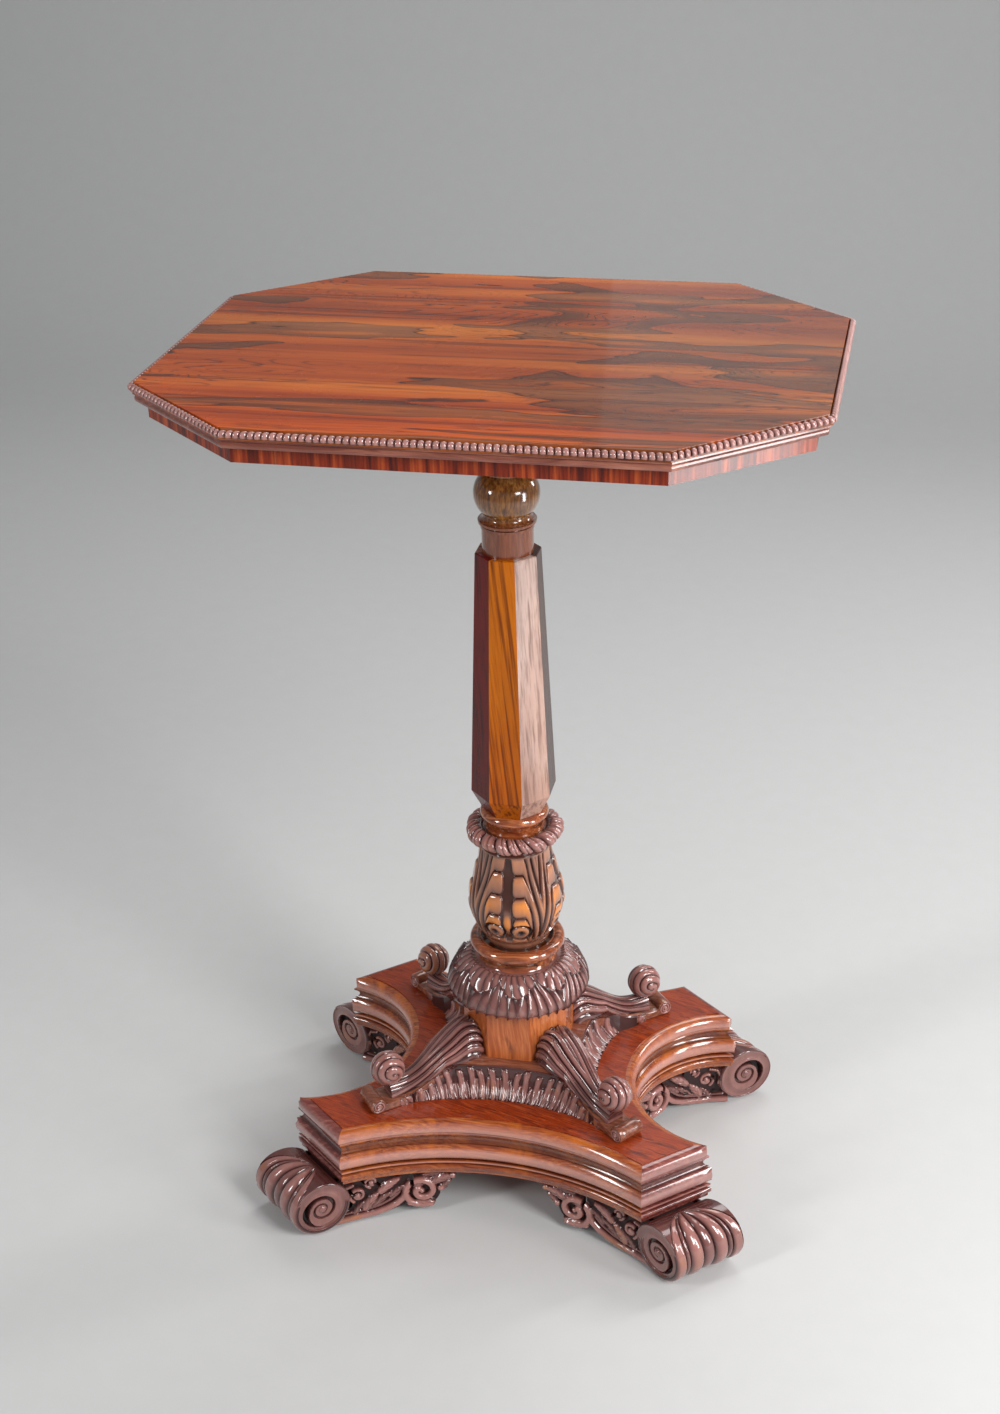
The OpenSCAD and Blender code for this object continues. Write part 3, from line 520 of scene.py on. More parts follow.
for material, *prefixes in (
    (TOP, "top_board"),
    (EDGE, "edge_moulding"),
    (BEAD, "bead_strip"),
    (BAND, "frieze_band"),
    (PLAIN, "bearer", "mounting_block"),
    (STEEL, "top_screws", "foot_screws"),
    (SHAFT, "column_shaft"),
    (KNOP, "column_capital"),
    (TURNED, "shaft_ring", "column_disc"),
    (BLOCK, "column_block"),
    (MOUND, "base_mound"),
    (CARVED, "carved_cove", "leaf_bracket", "scroll_foot", "leaf_collar", "leaf_shoulder", "carved_baluster"),
    (DECK, "platform_core"),
    (SIDE, "platform_side"),
    (END, "platform_end"),
):
    for name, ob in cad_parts.items():
        if name.startswith(tuple(prefixes)):
            ob.data.materials.clear()
            ob.data.materials.append(material)

# Carved pieces that are turned first: a profile round the axis with a relief on it


def carved_turning(name, node, profile, relief, material=CARVED, around=720, along=90):
    """The profile is radius and height. relief gives depth and tone from direction, height and place on the line, and
    the tone paints shade in the cuts and highlights on what stands out.
    """
    c = smooth_curve(profile, along)
    th = np.linspace(0, TAU, around, endpoint=False)
    d = np.gradient(c, axis=0)
    n = np.stack([d[:, 1], -d[:, 0]], 1)
    n /= np.linalg.norm(n, axis=1, keepdims=True)

    def turned(rz):
        return xyz(rz[:, :1] * np.cos(th), rz[:, :1] * np.sin(th), rz[:, 1:])

    h, tone = relief(*np.broadcast_arrays(th, c[:, 1:], np.linspace(0, 1, along)[:, None]))
    shell = Shell()
    ids = shell.grid(turned(c) + h[..., None] * turned(n), tone, close_v=True, flip=True)
    shell.caps(ids[0], ids[-1], flip=True)
    shell.build(name, material, [node])


def baluster_relief(th, z, s):
    """Four spreading leaves with folded side lobes, a veined middle and two eyes low down."""
    u = saw((th - PI / 4) / (PI / 2) + 0.5) - 0.5
    a = np.abs(u) * 2
    side = np.sign(u)
    b = (z - 235) / 83
    q = (b + 0.7 * unit((0.5 - a) / 0.5) ** 1.4 - 0.012 * side) * 4.5 + 0.3
    f = saw(q)
    gap = 0.06 + 0.1 * np.sin(PI * unit(b)) + 0.03 * np.sin(9 * b)
    end = 1 - gap - 0.1 * np.power(np.abs(2 * f - 1), 4)
    inside = step(end - a, -0.01, 0.035)
    round_end = dome(unit(1 - (end - a) / 0.14), 2.6)
    pad = dome(2 * f - 1, 4.5) * (0.6 + 0.4 * f) * (0.35 + 0.65 * round_end)
    w = step(a, 0.26, 0.48)
    veins = np.abs(np.sin(PI * (a * 4.8 - 1.7 * b + 0.15 * np.sin(5 * b))))
    folds = np.abs(np.sin(PI * q * 2))
    lobes = 3.9 * pad - 0.9 + 0.2 * folds * (1 - round_end)
    h = inside * (w * lobes + (1 - w) * (2.3 * veins**0.7 + 0.3)) - (1 - inside) * 0.6
    # painted shade and highlight: the tone is light on the pads and veins and dark in the cuts between the leaves
    tone = inside * (w * (0.15 + 0.8 * pad) + (1 - w) * (0.2 + 0.5 * veins)) + (1 - inside) * 0.3
    # a smooth pod between two leaves, with a painted highlight where it swells
    lens = dome((1 - a) / np.maximum(gap * 0.8, 0.02)) * bump(b - 0.3, 0.14)
    h = np.where(inside < 0.5, h + 1.6 * lens, h)
    tone = np.where(inside < 0.5, tone + 0.6 * lens, tone)
    eye = np.hypot((a - 0.62) / 0.27, (b - 0.18) / 0.096)
    boss = 2.6 * dome(eye) - 2.6 * bump(eye, 0.3) - 1.2 * bump(eye - 1.05, 0.12)
    h = np.where(eye < 1.25, boss + 0.2, h)
    # painted shade in the eye's middle and round its rim
    tone = np.where(eye < 1.25, unit(0.75 - 0.9 * bump(eye, 0.34) - 0.8 * bump(eye - 1.08, 0.16)), tone)
    fade = step(z, 237.0, 240.5) * (1 - step(z, 315, 318))
    return (h - 2.6) * fade, unit(tone) * fade + (1 - fade) * 0.6


carved_turning(
    "baluster",
    "carved_baluster",
    [
        (20, 219), (20.2, 221.5), (20.6, 223.4), (23.4, 224.6), (26.2, 227), (28, 230.4), (28.6, 233.6),
        (29.9, 235.6), (33.2, 240), (37, 247.6), (39.6, 256), (40.8, 264.5), (40.6, 271), (39.3, 278),
        (37.2, 286), (34.8, 294), (32.5, 303), (31, 310), (29.9, 315.5), (29.4, 318),
    ],
    baluster_relief,
    GILT,
    around=900,
    along=260,
)


def collar_relief(th, z, s):
    """Slanting rounded strokes, uneven round the ring."""
    f = saw(th * 21 / TAU + (1.2 + 0.6 * np.sin(4 * th)) * (s - 0.4) + 0.18 * np.sin(5 * th))
    lobe = dome(2 * f - 1, 2.6)
    crease = bump(f - 0.55, 0.07)
    env = step(s, 0.1, 0.26) * (1 - step(s, 0.76, 0.86))
    h = 4.2 * lobe - 3.6 - 0.8 * crease + 0.5 * np.sin(7 * th)
    # painted shade and highlight: light on each stroke, dark in the creases between
    tone = unit(0.12 + 0.85 * lobe * (0.6 + 0.4 * np.sin(PI * s)) - 0.35 * crease)
    return env * h, tone * env + 0.45 * (1 - env)


carved_turning(
    "collar",
    "leaf_collar",
    [
        (27, 318), (27.6, 321.6), (30.5, 324.4), (34.5, 324.8), (38.2, 327), (39.8, 330.6), (38.6, 334.2),
        (35, 336.6), (31, 336.8), (28.4, 335.8), (27.2, 334.6), (26.2, 333), (24, 333),
    ],
    collar_relief,
)


def shoulder_relief(th, z, s):
    """Two tiers of nine overlapping leaves: deep ribs that fan out to a scalloped rim."""
    b = np.clip(s / 0.72, 0, 1.3)

    def tier(shift, ribs, bend):
        t = th * 9 / TAU + shift + 0.06 * np.sin(2 * th + 3 * shift)
        number = np.floor(t)
        lean = bend * np.sin(2.4 * number + 0.6 + shift)
        x = (saw(t) - 0.5) * 2
        xx = (x + lean * (b - 0.8) * (1 - x * x)) / (0.62 + 0.42 * np.power(b, 0.8))
        f = saw(xx * ribs + 0.5 + 0.1 * np.sin(7 * b + number))
        return xx, dome(2 * f - 1) * (0.5 + 0.5 * f)

    xx, rib = tier(0.0, 2.4, 0.55)
    yy, rib2 = tier(0.5, 1.9, 0.4)
    inside = step(1 - np.abs(xx), 0.0, 0.05)
    depth = np.interp(b, [0, 0.3, 0.9, 1.3], [1.2, 2.4, 3.7, 3.2])
    h = inside * (depth * rib + 0.8 * (1 - np.abs(xx) ** 3)) + (1 - inside) * (0.6 * depth * rib2 - 0.4)
    # painted shade and highlight: light on the ribs, dark between them and between the leaves
    tone = inside * (0.16 + 0.74 * rib) + (1 - inside) * (0.1 + 0.5 * rib2)
    # the short upper tier ends in a rounded, raised edge over the long leaves, which are painted darker just below it
    # as its shadow
    edge = 0.5 - 0.2 * np.abs(yy) ** 1.6 + 0.05 * rib2
    over = step(edge - b, 0.0, 0.035)
    lift = 0.7 + 1.5 * unit(b / 0.45) * (1 - 0.6 * step(edge - b, 0.05, 0.3))
    h = over * (lift + 1.3 * rib2) + (1 - over) * h
    tone = over * (0.2 + 0.7 * rib2) + (1 - over) * tone * (0.55 + 0.45 * step(b - edge, 0.0, 0.14))
    env = step(s, 0.01, 0.06) * (1 - step(s, 0.9, 0.98))
    return env * (h - 4.0), unit(tone)


carved_turning(
    "shoulder",
    "leaf_shoulder",
    [
        (36, 208), (40, 206.6), (45, 203.4), (50.4, 198), (54.6, 191.6), (57.3, 185.6), (57.3, 181.2),
        (54.6, 178.4), (50.5, 177.8), (47, 179), (44.6, 179.4), (44, 178), (40, 178),
    ],
    shoulder_relief,
    around=1200,
    along=130,
)

# The board and its beads: upright ovals that wrap over the edge


def make_edge():
    right = np.array([(151.04, -199), (248, -111.88), (248, 111.88), (151.04, 199)])
    corners = np.vstack([right, -right])

    def inset(d):
        """The board's outline, moved inwards."""
        nxt, prv = np.roll(corners, -1, 0), np.roll(corners, 1, 0)
        e1 = (nxt - corners) / np.linalg.norm(nxt - corners, axis=1, keepdims=True)
        e0 = (corners - prv) / np.linalg.norm(corners - prv, axis=1, keepdims=True)
        n1, n0 = np.stack([-e1[:, 1], e1[:, 0]], 1), np.stack([-e0[:, 1], e0[:, 0]], 1)
        return corners + d * (n0 + n1) / (1 + np.sum(n0 * n1, 1))[:, None]

    # the board's section as inset and height, with a rebate behind the beads and the narrower lower leaf
    section = [
        (5.4, TOP_Z), (5.3, 734.7), (5.2, 731.2), (2.6, 731.0), (2.5, 730.9), (2.5, 728.3), (2.8, 728.0),
        (12.0, 728.0), (12.0, 720.2), (12.2, 720.0),
    ]
    board = Shell()
    ids = board.grid(np.stack([level(inset(d), z) for d, z in section], 1), close_u=True, flip=True)
    board.caps(ids[:, 0], ids[:, -1])
    board.build("board", TOP, ["top_board"], 20, slot="top_veneer")

    pitch, per_bead = 4.97, 14
    radius, deep = 4.6, 2.3
    a = np.radians(np.linspace(96, -20, 17))[None, :]
    along = dome(np.linspace(-1, 1, 17), 2.6)
    outer, inner, middle = inset(0), inset(1.0), inset(2.5)
    names = ("front_right", "right", "back_right", "back", "back_left", "left", "front_left", "front")
    for i, name in enumerate(names):
        j = (i + 1) % 8
        count = round(np.linalg.norm(middle[j] - middle[i]) / pitch)
        u = np.linspace(0, 1, count * per_bead + 1)
        height = dome(2 * saw(u * count * 0.9999999) - 1, 2.2)[:, None] * along[None, :]
        r = radius - deep * (1 - height)

        def walled(row, before, after):
            """Adds the strip's hidden back to a row of values."""
            return np.concatenate([np.full((len(u), 1), before), row, np.full((len(u), 2), [after])], 1)

        d = walled(radius - r * np.cos(a), 5.1, [3.2, 5.1])
        z = walled(TOP_Z - radius + r * np.sin(a), 732.0, [729.4, 729.4])
        first, last = (outer[k] + d[..., None] * (inner[k] - outer[k]) for k in (i, j))
        plan = first * (1 - u)[:, None, None] + last * u[:, None, None]
        # painted shade and highlight: the beads' tone is light on each crest and dark in the gaps and on the strip's
        # hidden back
        tone = 0.05 + 0.9 * walled(height, 0.0, [0.0, 0.0])
        shell = Shell()
        ids = shell.grid(np.concatenate([plan, z[..., None]], -1), tone, close_v=True)
        shell.caps(ids[0], ids[-1])
        shell.build("beads_" + name, BEAD, ["bead_strip_" + name], 50, slot="edge_wood")


make_edge()

# Carved pieces of the base and the feet


def tongue_top(r):
    """Height of a tongue's top at a distance from the axis."""
    r = np.asarray(r, float)
    return np.minimum(127.5, 175 - np.sqrt(np.clip(68**2 - (r - 128) ** 2, 1, None)) + 200 * (r < 79.5))


def tongue_side(centre, distance, side):
    """The direction from a hollow's centre to one side of a tongue, at a distance from the axis."""
    p = ALONG * distance + ACROSS * TONGUE_HALF * side
    return math.atan2(p[1] - centre[1], p[0] - centre[0])


def strokes(u, b, count):
    """Height from 0 to 1 of a band of upright leaves that lean outwards: u is along the band, b from foot to top."""
    best = np.zeros(u.shape)
    for i in range(2 * count):
        x0 = (i + 0.5) / (2 * count)
        tall = i % 2 == 0
        side = 2 * x0 - 1
        top = 0.9 + 0.05 * math.sin(1.9 * i) if tall else 0.6 + 0.1 * math.sin(2.7 * i)
        lean = (0.55 * side + 0.3 * math.sin(2.3 * i)) / (2 * count)
        curl = (0.5 if side > 0 else -0.5) / (2 * count)
        k = unit(b / top)
        centre = x0 + lean * k + (curl * k**5 if tall else 0)
        swell = 0.22 * bump(k - 0.9, 0.12) if tall else 0.1
        half = (0.3 + 0.34 * np.sin(PI * unit(0.12 + 0.8 * k)) + swell) / (2 * count)
        x = (u - centre) / half
        body = dome(x, 2.2) * dome(k, 10) * (b < top)
        groove = bump(x - 0.25, 0.2) * (0.1 if tall else 0.35)
        best = np.maximum(best, (1.0 if tall else 0.72) * body * (0.62 + 0.38 * k) - groove * (body > 0))
    return best


def cove(side, centre, radii, turns, leaves):
    """One concave carved side. side is +1 for front and back, which face along Y, and -1 for the ends.

    radii and turns are the arc's radius, and its first and last direction, at the foot and at the top."""
    out = ACROSS * side
    ends = (
        [[*(ALONG * s + out * 12.4), BASE_Z] for s in np.linspace(114, 121, 8)],
        [[*(ALONG * s + out * 12.2), float(tongue_top(s)) - 0.6] for s in np.linspace(82, 121, 30)],
    )
    flip = np.array([-side, side, 1])
    lines = []
    for radius, turn, z, end in zip(radii, turns, (BASE_Z, 124.5), ends):
        half = resample(np.vstack([level(arc_points(centre, radius, *turn, 60), z), end]), 460)
        lines.append(np.vstack([(half * flip)[::-1][:-1], half]))
    foot, top = lines
    v = np.linspace(0, 1, 70)
    rise = (top - foot)[:, None, :]
    p = foot[:, None, :] + rise * v[None, :, None]
    # a hollow between foot and top: the plan position runs ahead of the height
    p[..., :2] += rise[..., :2] * (np.sin(PI * v) ** 0.9 * 0.22)[None, :, None]
    p[..., 2] -= (rise[..., 2] * 0.1) * np.sin(PI * v)[None, :]
    length = lengths((foot + top) / 2)
    u, b, height = np.broadcast_arrays((length / length[-1])[:, None], v, rise[..., 2])
    h = strokes(u, b / 0.97, leaves)
    border = step(b, 0.955, 0.975)
    relief = (h - 0.55) * (np.clip(height / 25, 0.12, 1) * 3.0) * (1 - border) + border * 0.8
    relief = relief * step(b, 0.0, 0.03)
    nrm = normals_of(p)
    facing = np.sign(np.sum(nrm * (p - np.array([0, 0, 112.0])), axis=-1).mean())
    q = p + nrm * facing * relief[..., None]
    # painted shade and highlight: light on the leaves, dark between them
    tone = unit(0.32 + 0.64 * h) * (1 - border) + 0.55 * border
    # the back of the band goes straight down from behind its rim
    inward = (top - foot) * [1, 1, 0]
    inward /= np.maximum(np.linalg.norm(inward, axis=1, keepdims=True), 1e-6)
    rim = q[:, -1] + inward * 3.0
    back = np.stack([rim, level(rim[:, :2], BASE_Z)], 1)
    # the hidden back is painted dark as shade
    tone = np.concatenate([tone, np.full((len(tone), 2), 0.2)], axis=1)
    shell = Shell()
    ids = shell.grid(np.concatenate([q, back], axis=1), tone, close_v=True, flip=facing < 0)
    shell.caps(ids[0], ids[-1], flip=facing > 0)
    return shell


def make_coves():
    for side, centre, radii, reaches, leaves, names in (
        (1, (0, COVE_Y), (195.0, 209.0), (112.5, 72), 21, ("back", "front")),
        (-1, (COVE_X, 0), (118.0, 132.0), (119.0, 72), 15, ("right", "left")),
    ):
        turns = [tongue_side(centre, reach, side) for reach in reaches]
        turns = [(-PI / 2, turn) if side > 0 else (PI, turn % TAU) for turn in turns]
        shell = cove(side, centre, radii, turns, leaves)
        for name, sign in zip(names, (1, -1)):
            mirror = Matrix.Diagonal((1, sign, 1, 1) if side > 0 else (sign, 1, 1, 1))
            shell.build("cove_" + name, CARVED, ["carved_cove_" + name], matrix=mirror)


make_coves()


def make_brackets():
    """The leaf brackets, drawn along X and then turned on to the diagonals."""
    foot_r = 41
    r, z_top = smooth_curve(
        [
            (41, 155.2), (47, 156), (54, 155.6), (61, 152.8), (68, 148.2), (76, 142.2), (84, 136), (91, 130.6),
            (97, 126.2), (103, 122.8), (109, 120.8), (115, 120.2), (121, 120.4), (127, 121),
        ],
        200,
    ).T
    z_low = tongue_top(r) - 0.3
    half = np.interp(
        r, [41, 50, 60, 70, 80, 90, 100, 112, 127], [18.6, 19.8, 20.0, 18.6, 16.0, 13.4, 11.4, 9.6, 8.3]
    )
    cushion = 0.74 + 0.26 * dome(np.clip(49 - r, 0, 8) / 8.6)
    half = half * cushion
    z_top = z_low + (z_top - z_low) * cushion
    rr, ff = np.meshgrid(r, np.linspace(-PI / 2, PI / 2, 241), indexing="ij")
    sh = np.sign(np.sin(ff)) * np.abs(np.sin(ff)) ** 0.86
    ch = unit(np.cos(ff)) ** 0.78
    base = xyz(rr, half[:, None] * sh, z_low[:, None] + (z_top - z_low)[:, None] * ch)
    n = normals_of(base)
    n *= np.sign((n[..., 2]).mean())
    # broad ribs that part from the crest on their way down and hook over at the block
    s = (rr - foot_r) / 86
    fold = np.abs(ff) / (PI / 2)
    k = fold * (1 - 0.52 * np.power(unit(s), 0.8)) - 0.26 * np.power(unit(1 - s / 0.24), 1.8)
    k = k + 0.035 * np.sin(8 * s + 2) * (1 - fold)
    f = saw(k * 4.7 + 0.46)
    ribs = dome(2 * f - 1, 2.4) * (0.45 + 0.55 * f)
    narrow = bump(f - 0.42, 0.05)
    size = np.interp(rr, [41, 60, 100, 127], [4.6, 4.2, 2.4, 1.4])
    low_end = step(1 - fold, 0.0, 0.16)
    h = ((ribs - 0.8) * size - 0.45 * narrow) * (0.35 + 0.65 * low_end)
    pad = np.exp(-(((s - 0.36) / 0.13) ** 2) - (((fold - 0.68) / 0.2) ** 2))
    p = base + n * h[..., None]
    # rounded rib ends against the block
    p[..., 0] += 3.2 * (1 - ribs) * (1 - step(rr, foot_r, 46))
    p[..., 0] = np.maximum(p[..., 0], 40.6)
    shell = Shell()
    # painted shade and highlight: light on the ribs, dark in the narrow cuts between them, and lighter on a pad along
    # the side
    ids = shell.grid(p, unit(0.12 + 0.74 * ribs - 0.3 * narrow + 0.35 * pad * ribs))
    shell.caps(ids[0], ids[-1])
    shell.caps(ids[:, 0], ids[:, -1], flip=True)
    # the ball that the leaf's tip curls into, with bands that wind round the cross line
    ball_x, ball_z, ball_r = 126, 133, 14.8
    tilt = np.linspace(-PI / 2, PI / 2, 110)[:, None]
    turn = np.linspace(0, TAU, 150, endpoint=False)[None, :]
    band = dome(2 * saw(tilt / PI * 6 + turn / TAU + 0.12 * np.sin(2 * turn)) - 1, 2.6)
    rad = ball_r - 2.2 * (1 - band) * unit(np.cos(tilt) * 2.2)
    wide = rad * np.cos(tilt)
    ball = xyz(ball_x + wide * np.cos(turn), rad * 0.96 * np.sin(tilt), ball_z + wide * np.sin(turn))
    # painted shade and highlight on the ball's bands
    ids = shell.grid(ball, unit(0.06 + 0.8 * band), close_v=True)
    shell.caps(ids[0], ids[-1], flip=True)
    shell.build_four("bracket_", "leaf_bracket_", spin=SPIN)


make_brackets()


def make_mouldings():
    """The platform's mouldings: one profile carried round four hollow sides and four straight arm ends, mitred."""

    def arc(o, z, radius, a0, a1, count, tone0, tone1):
        a = np.radians(np.linspace(a0, a1, count))
        return np.column_stack([o + radius * np.cos(a), z + radius * np.sin(a), np.linspace(tone0, tone1, count)])

    # out from the platform's edge, height from its top, and tone: painted highlights on the lips and rounds, painted
    # shade in the hollows
    profile = np.vstack([
        [[-5.9, 0, 0.5], [-0.6, 0, 0.6]],
        arc(0.5, -7.5, 7.45, 84, 0, 16, 0.62, 1.0),
        [[7.95, -8.6, 1.0], [7.7, -9.3, 0.8], [6.9, -9.7, 0.35], [6.1, -9.9, 0.1]],
        [[5.9, -10.3, 0.2], [5.9, -11.2, 0.85], [5.85, -12.6, 0.9], [5.4, -13.3, 0.4]],
        arc(8.3, -18, 4.8, 122, 236, 14, 0.25, 0.15),
        [[5.5, -22.2, 0.75], [4.6, -22.5, 0.3], [3.0, -22.7, 0.0], [3.0, -23.0, 0.05]],
        arc(-0.2, -31, 9.5, 57, -64, 30, 0.3, 0.55),
        [[3.2, -39.9, 0.05], [3.0, -40.7, 0.0], [5.9, -40.8, 0.5], [6.35, -41.1, 0.9]],
        [[6.4, -42.2, 0.95], [6.2, -42.9, 0.6], [3.6, -43.3, 0.05], [3.4, -44.4, 0.0]],
        arc(5.0, -47.5, 2.7, 84, -50, 14, 0.35, 0.5),
        [[5.7, -50.3, 0.1], [5.5, -50.8, 0.4], [5.5, -53.2, 0.7], [5.2, -53.9, 0.5], [-5.9, -53.9, 0.3]],
    ])
    # painted highlight: the big round member is lightest where it stands out most
    body = (profile[:, 1] > -40) & (profile[:, 1] < -22.9)
    profile[body, 2] = unit(0.25 + 0.8 * unit((profile[body, 0] - 5.2) / 4.0))
    o, z, tone = profile.T

    def corner(centre, radius, sign):
        """Where the lines of an arm's end meet those of a hollow."""
        ca, sa = math.cos(END_TURN), math.sin(END_TURN)
        n = (REACH + o)[:, None] * np.array([ca, sa])
        v = np.array([sa, -ca])
        w = n - centre
        b = w @ v
        c = np.sum(w * w, 1) - (radius - o) ** 2
        return n + (-b + sign * np.sqrt(np.maximum(b * b - c, 0)))[:, None] * v

    side_end = corner([0, SIDE_Y], SIDE_R, 1)
    flank_end = corner([FLANK_X, 0], FLANK_R, -1)
    out = flank_end[np.argmax(o)] - flank_end[np.argmin(np.abs(o))]
    out /= np.linalg.norm(out)

    def raised(plan):
        return xyz(plan[..., 0], plan[..., 1], MOULDING_Z + z)

    def clipped(p):
        """The plan of p with an arm's sharp tip cut off."""
        w = (p[..., :2] - [TIP_X, TIP_Y]) @ out
        limit = np.where(p[..., 2] > 86.5, 10.2, 15.2)
        return p[..., :2] - np.clip(w - limit, 0, None)[..., None] * out

    def piece(plan, name, sx, sy):
        p = raised(plan)
        shell = Shell()
        ids = shell.grid(p * [sx, sy, 1], tone, close_v=True, flip=sx * sy < 0)
        shell.caps(ids[0], ids[-1], flip=sx * sy > 0)
        material, slot = (END, "edge_wood") if name.startswith("end") else (SIDE, "platform_veneer")
        shell.build(name, material, ["platform_" + name], 38, slot=slot)

    t = np.linspace(0, 1, 12)[:, None, None]
    ends = clipped(raised(side_end * (1 - t) + flank_end * t))
    for name, (sx, sy) in MIRRORS.items():
        piece(ends, "end_moulding_" + name, sx, sy)
    a1 = np.arctan2(side_end[:, 1] - SIDE_Y, side_end[:, 0])
    a = (-PI - a1) + (2 * a1 + PI) * np.linspace(0, 1, 90)[:, None]
    plan = np.stack([(SIDE_R - o) * np.cos(a), SIDE_Y + (SIDE_R - o) * np.sin(a)], -1)
    piece(plan, "side_moulding_back", 1, 1)
    piece(plan, "side_moulding_front", 1, -1)
    a1 = np.arctan2(flank_end[:, 1], flank_end[:, 0] - FLANK_X)
    a = a1 + (TAU - 2 * a1) * np.linspace(0, 1, 80)[:, None]
    full = raised(np.stack([FLANK_X + (FLANK_R - o) * np.cos(a), (FLANK_R - o) * np.sin(a)], -1))
    plan = np.where(full[..., 1:2] > 0, clipped(full), clipped(full * [1, -1, 1]) * [1, -1])
    piece(plan, "side_moulding_right", 1, 1)
    piece(plan, "side_moulding_left", -1, 1)


make_mouldings()


def make_mound():
    """The mound's ledge and core, and four tongues that run down the diagonals into a low roll."""
    shell = Shell()

    def plan(side_r, flank_r, reach):
        side, flank = (0, COVE_Y), (COVE_X, 0)
        one = arc_points(side, side_r, -PI / 2, tongue_side(side, reach, 1), 40)
        two = arc_points(flank, flank_r, tongue_side(flank, reach, -1) % TAU, PI, 30)
        quarter = np.vstack([one, two[:-1]])
        quarter = quarter[np.argsort(-np.arctan2(quarter[:, 1], quarter[:, 0]))]
        right = np.vstack([quarter, (quarter * [1, -1])[::-1]])
        whole = np.vstack([right, (right * [-1, 1])[::-1]])
        return whole[np.r_[True, np.linalg.norm(np.diff(whole, axis=0), axis=1) > 0.05]]

    for outline, low, high in ((plan(209.0, 132.0, 72.0), 124.6, 127.5), (plan(214.0, 137.0, 64.0), BASE_Z, 125.0)):
        ids = shell.grid(np.stack([level(outline, z) for z in (low, high)], 1), close_u=True, flip=True)
        shell.caps(ids[:, 0], ids[:, 1])
    # a tongue's middle line, out along its top and round the roll
    r = np.concatenate([np.linspace(30, 79.4, 3), np.linspace(80, 134.2, 60)])
    run = np.column_stack([r, tongue_top(r) - 1.2 * bump(r - 131, 8)])
    path = np.vstack([run, arc_points((ROLL_X, ROLL_Z), 7, math.radians(164), math.radians(-66), 60)])
    path[:, 1] = np.maximum(path[:, 1], BASE_Z)
    tangent = np.gradient(path, axis=0)
    tangent /= np.maximum(np.linalg.norm(tangent, axis=1, keepdims=True), 1e-9)
    # places across the tongue, and how far its top lies lower there
    y = [-12, -11.7, -11, -6, 0, 6, 11, 11.7, 12]
    k = np.array([1.0, 0.35, 0, 0.1, 0.2, 0.1, 0, 0.35, 1.0])
    p = xyz(path[:, :1] + tangent[:, 1:] * k, y, np.maximum(path[:, 1:] - tangent[:, :1] * k, BASE_Z))
    spun = np.array(SPIN)[:3, :3]
    for sx, sy in MIRRORS.values():
        ids = shell.grid((p @ spun.T) * [sx, sy, 1], flip=sx * sy < 0)
        foot = np.array([[30, y, BASE_Z] for y in (-TONGUE_HALF, TONGUE_HALF)]) @ spun.T * [sx, sy, 1]
        base = shell.store(foot, 0.5)
        shell.caps([*ids[:, 0], base], [*ids[:, -1], base + 1], flip=sx * sy < 0)
    shell.build("mound", MOUND, ["base_mound"], 35)


make_mound()


def make_roll_eyes():
    """The coiled ends of the low roll in which each tongue stops."""
    rho = np.linspace(0.02, 6.1, 40)[:, None]
    turn = np.linspace(0, TAU, 90, endpoint=False)[None, :]
    coil = dome(2 * saw(rho / 2.3 - turn / TAU) - 1, 2.4)
    h = (coil * step(rho, 0.0, 1.0) + 1.3 * dome(rho / 1.5)) * (1 - step(rho, 5.5, 6.1))
    # painted shade and highlight: light on the coil, dark in its groove
    tone = unit(0.15 + 0.75 * h)
    shell = Shell()
    for way in (1, -1):
        p = xyz(ROLL_X + rho * np.cos(turn), way * (11.7 + h), ROLL_Z + rho * np.sin(turn))
        p = np.concatenate([p, (p[-1:] - [0, way * 1.5, 0])])
        ids = shell.grid(p, np.concatenate([tone, tone[-1:]]), close_v=True, flip=way > 0)
        shell.caps(ids[0], ids[-1], flip=way < 0)
    shell.build_four("tongue_roll_", spin=SPIN)


make_roll_eyes()


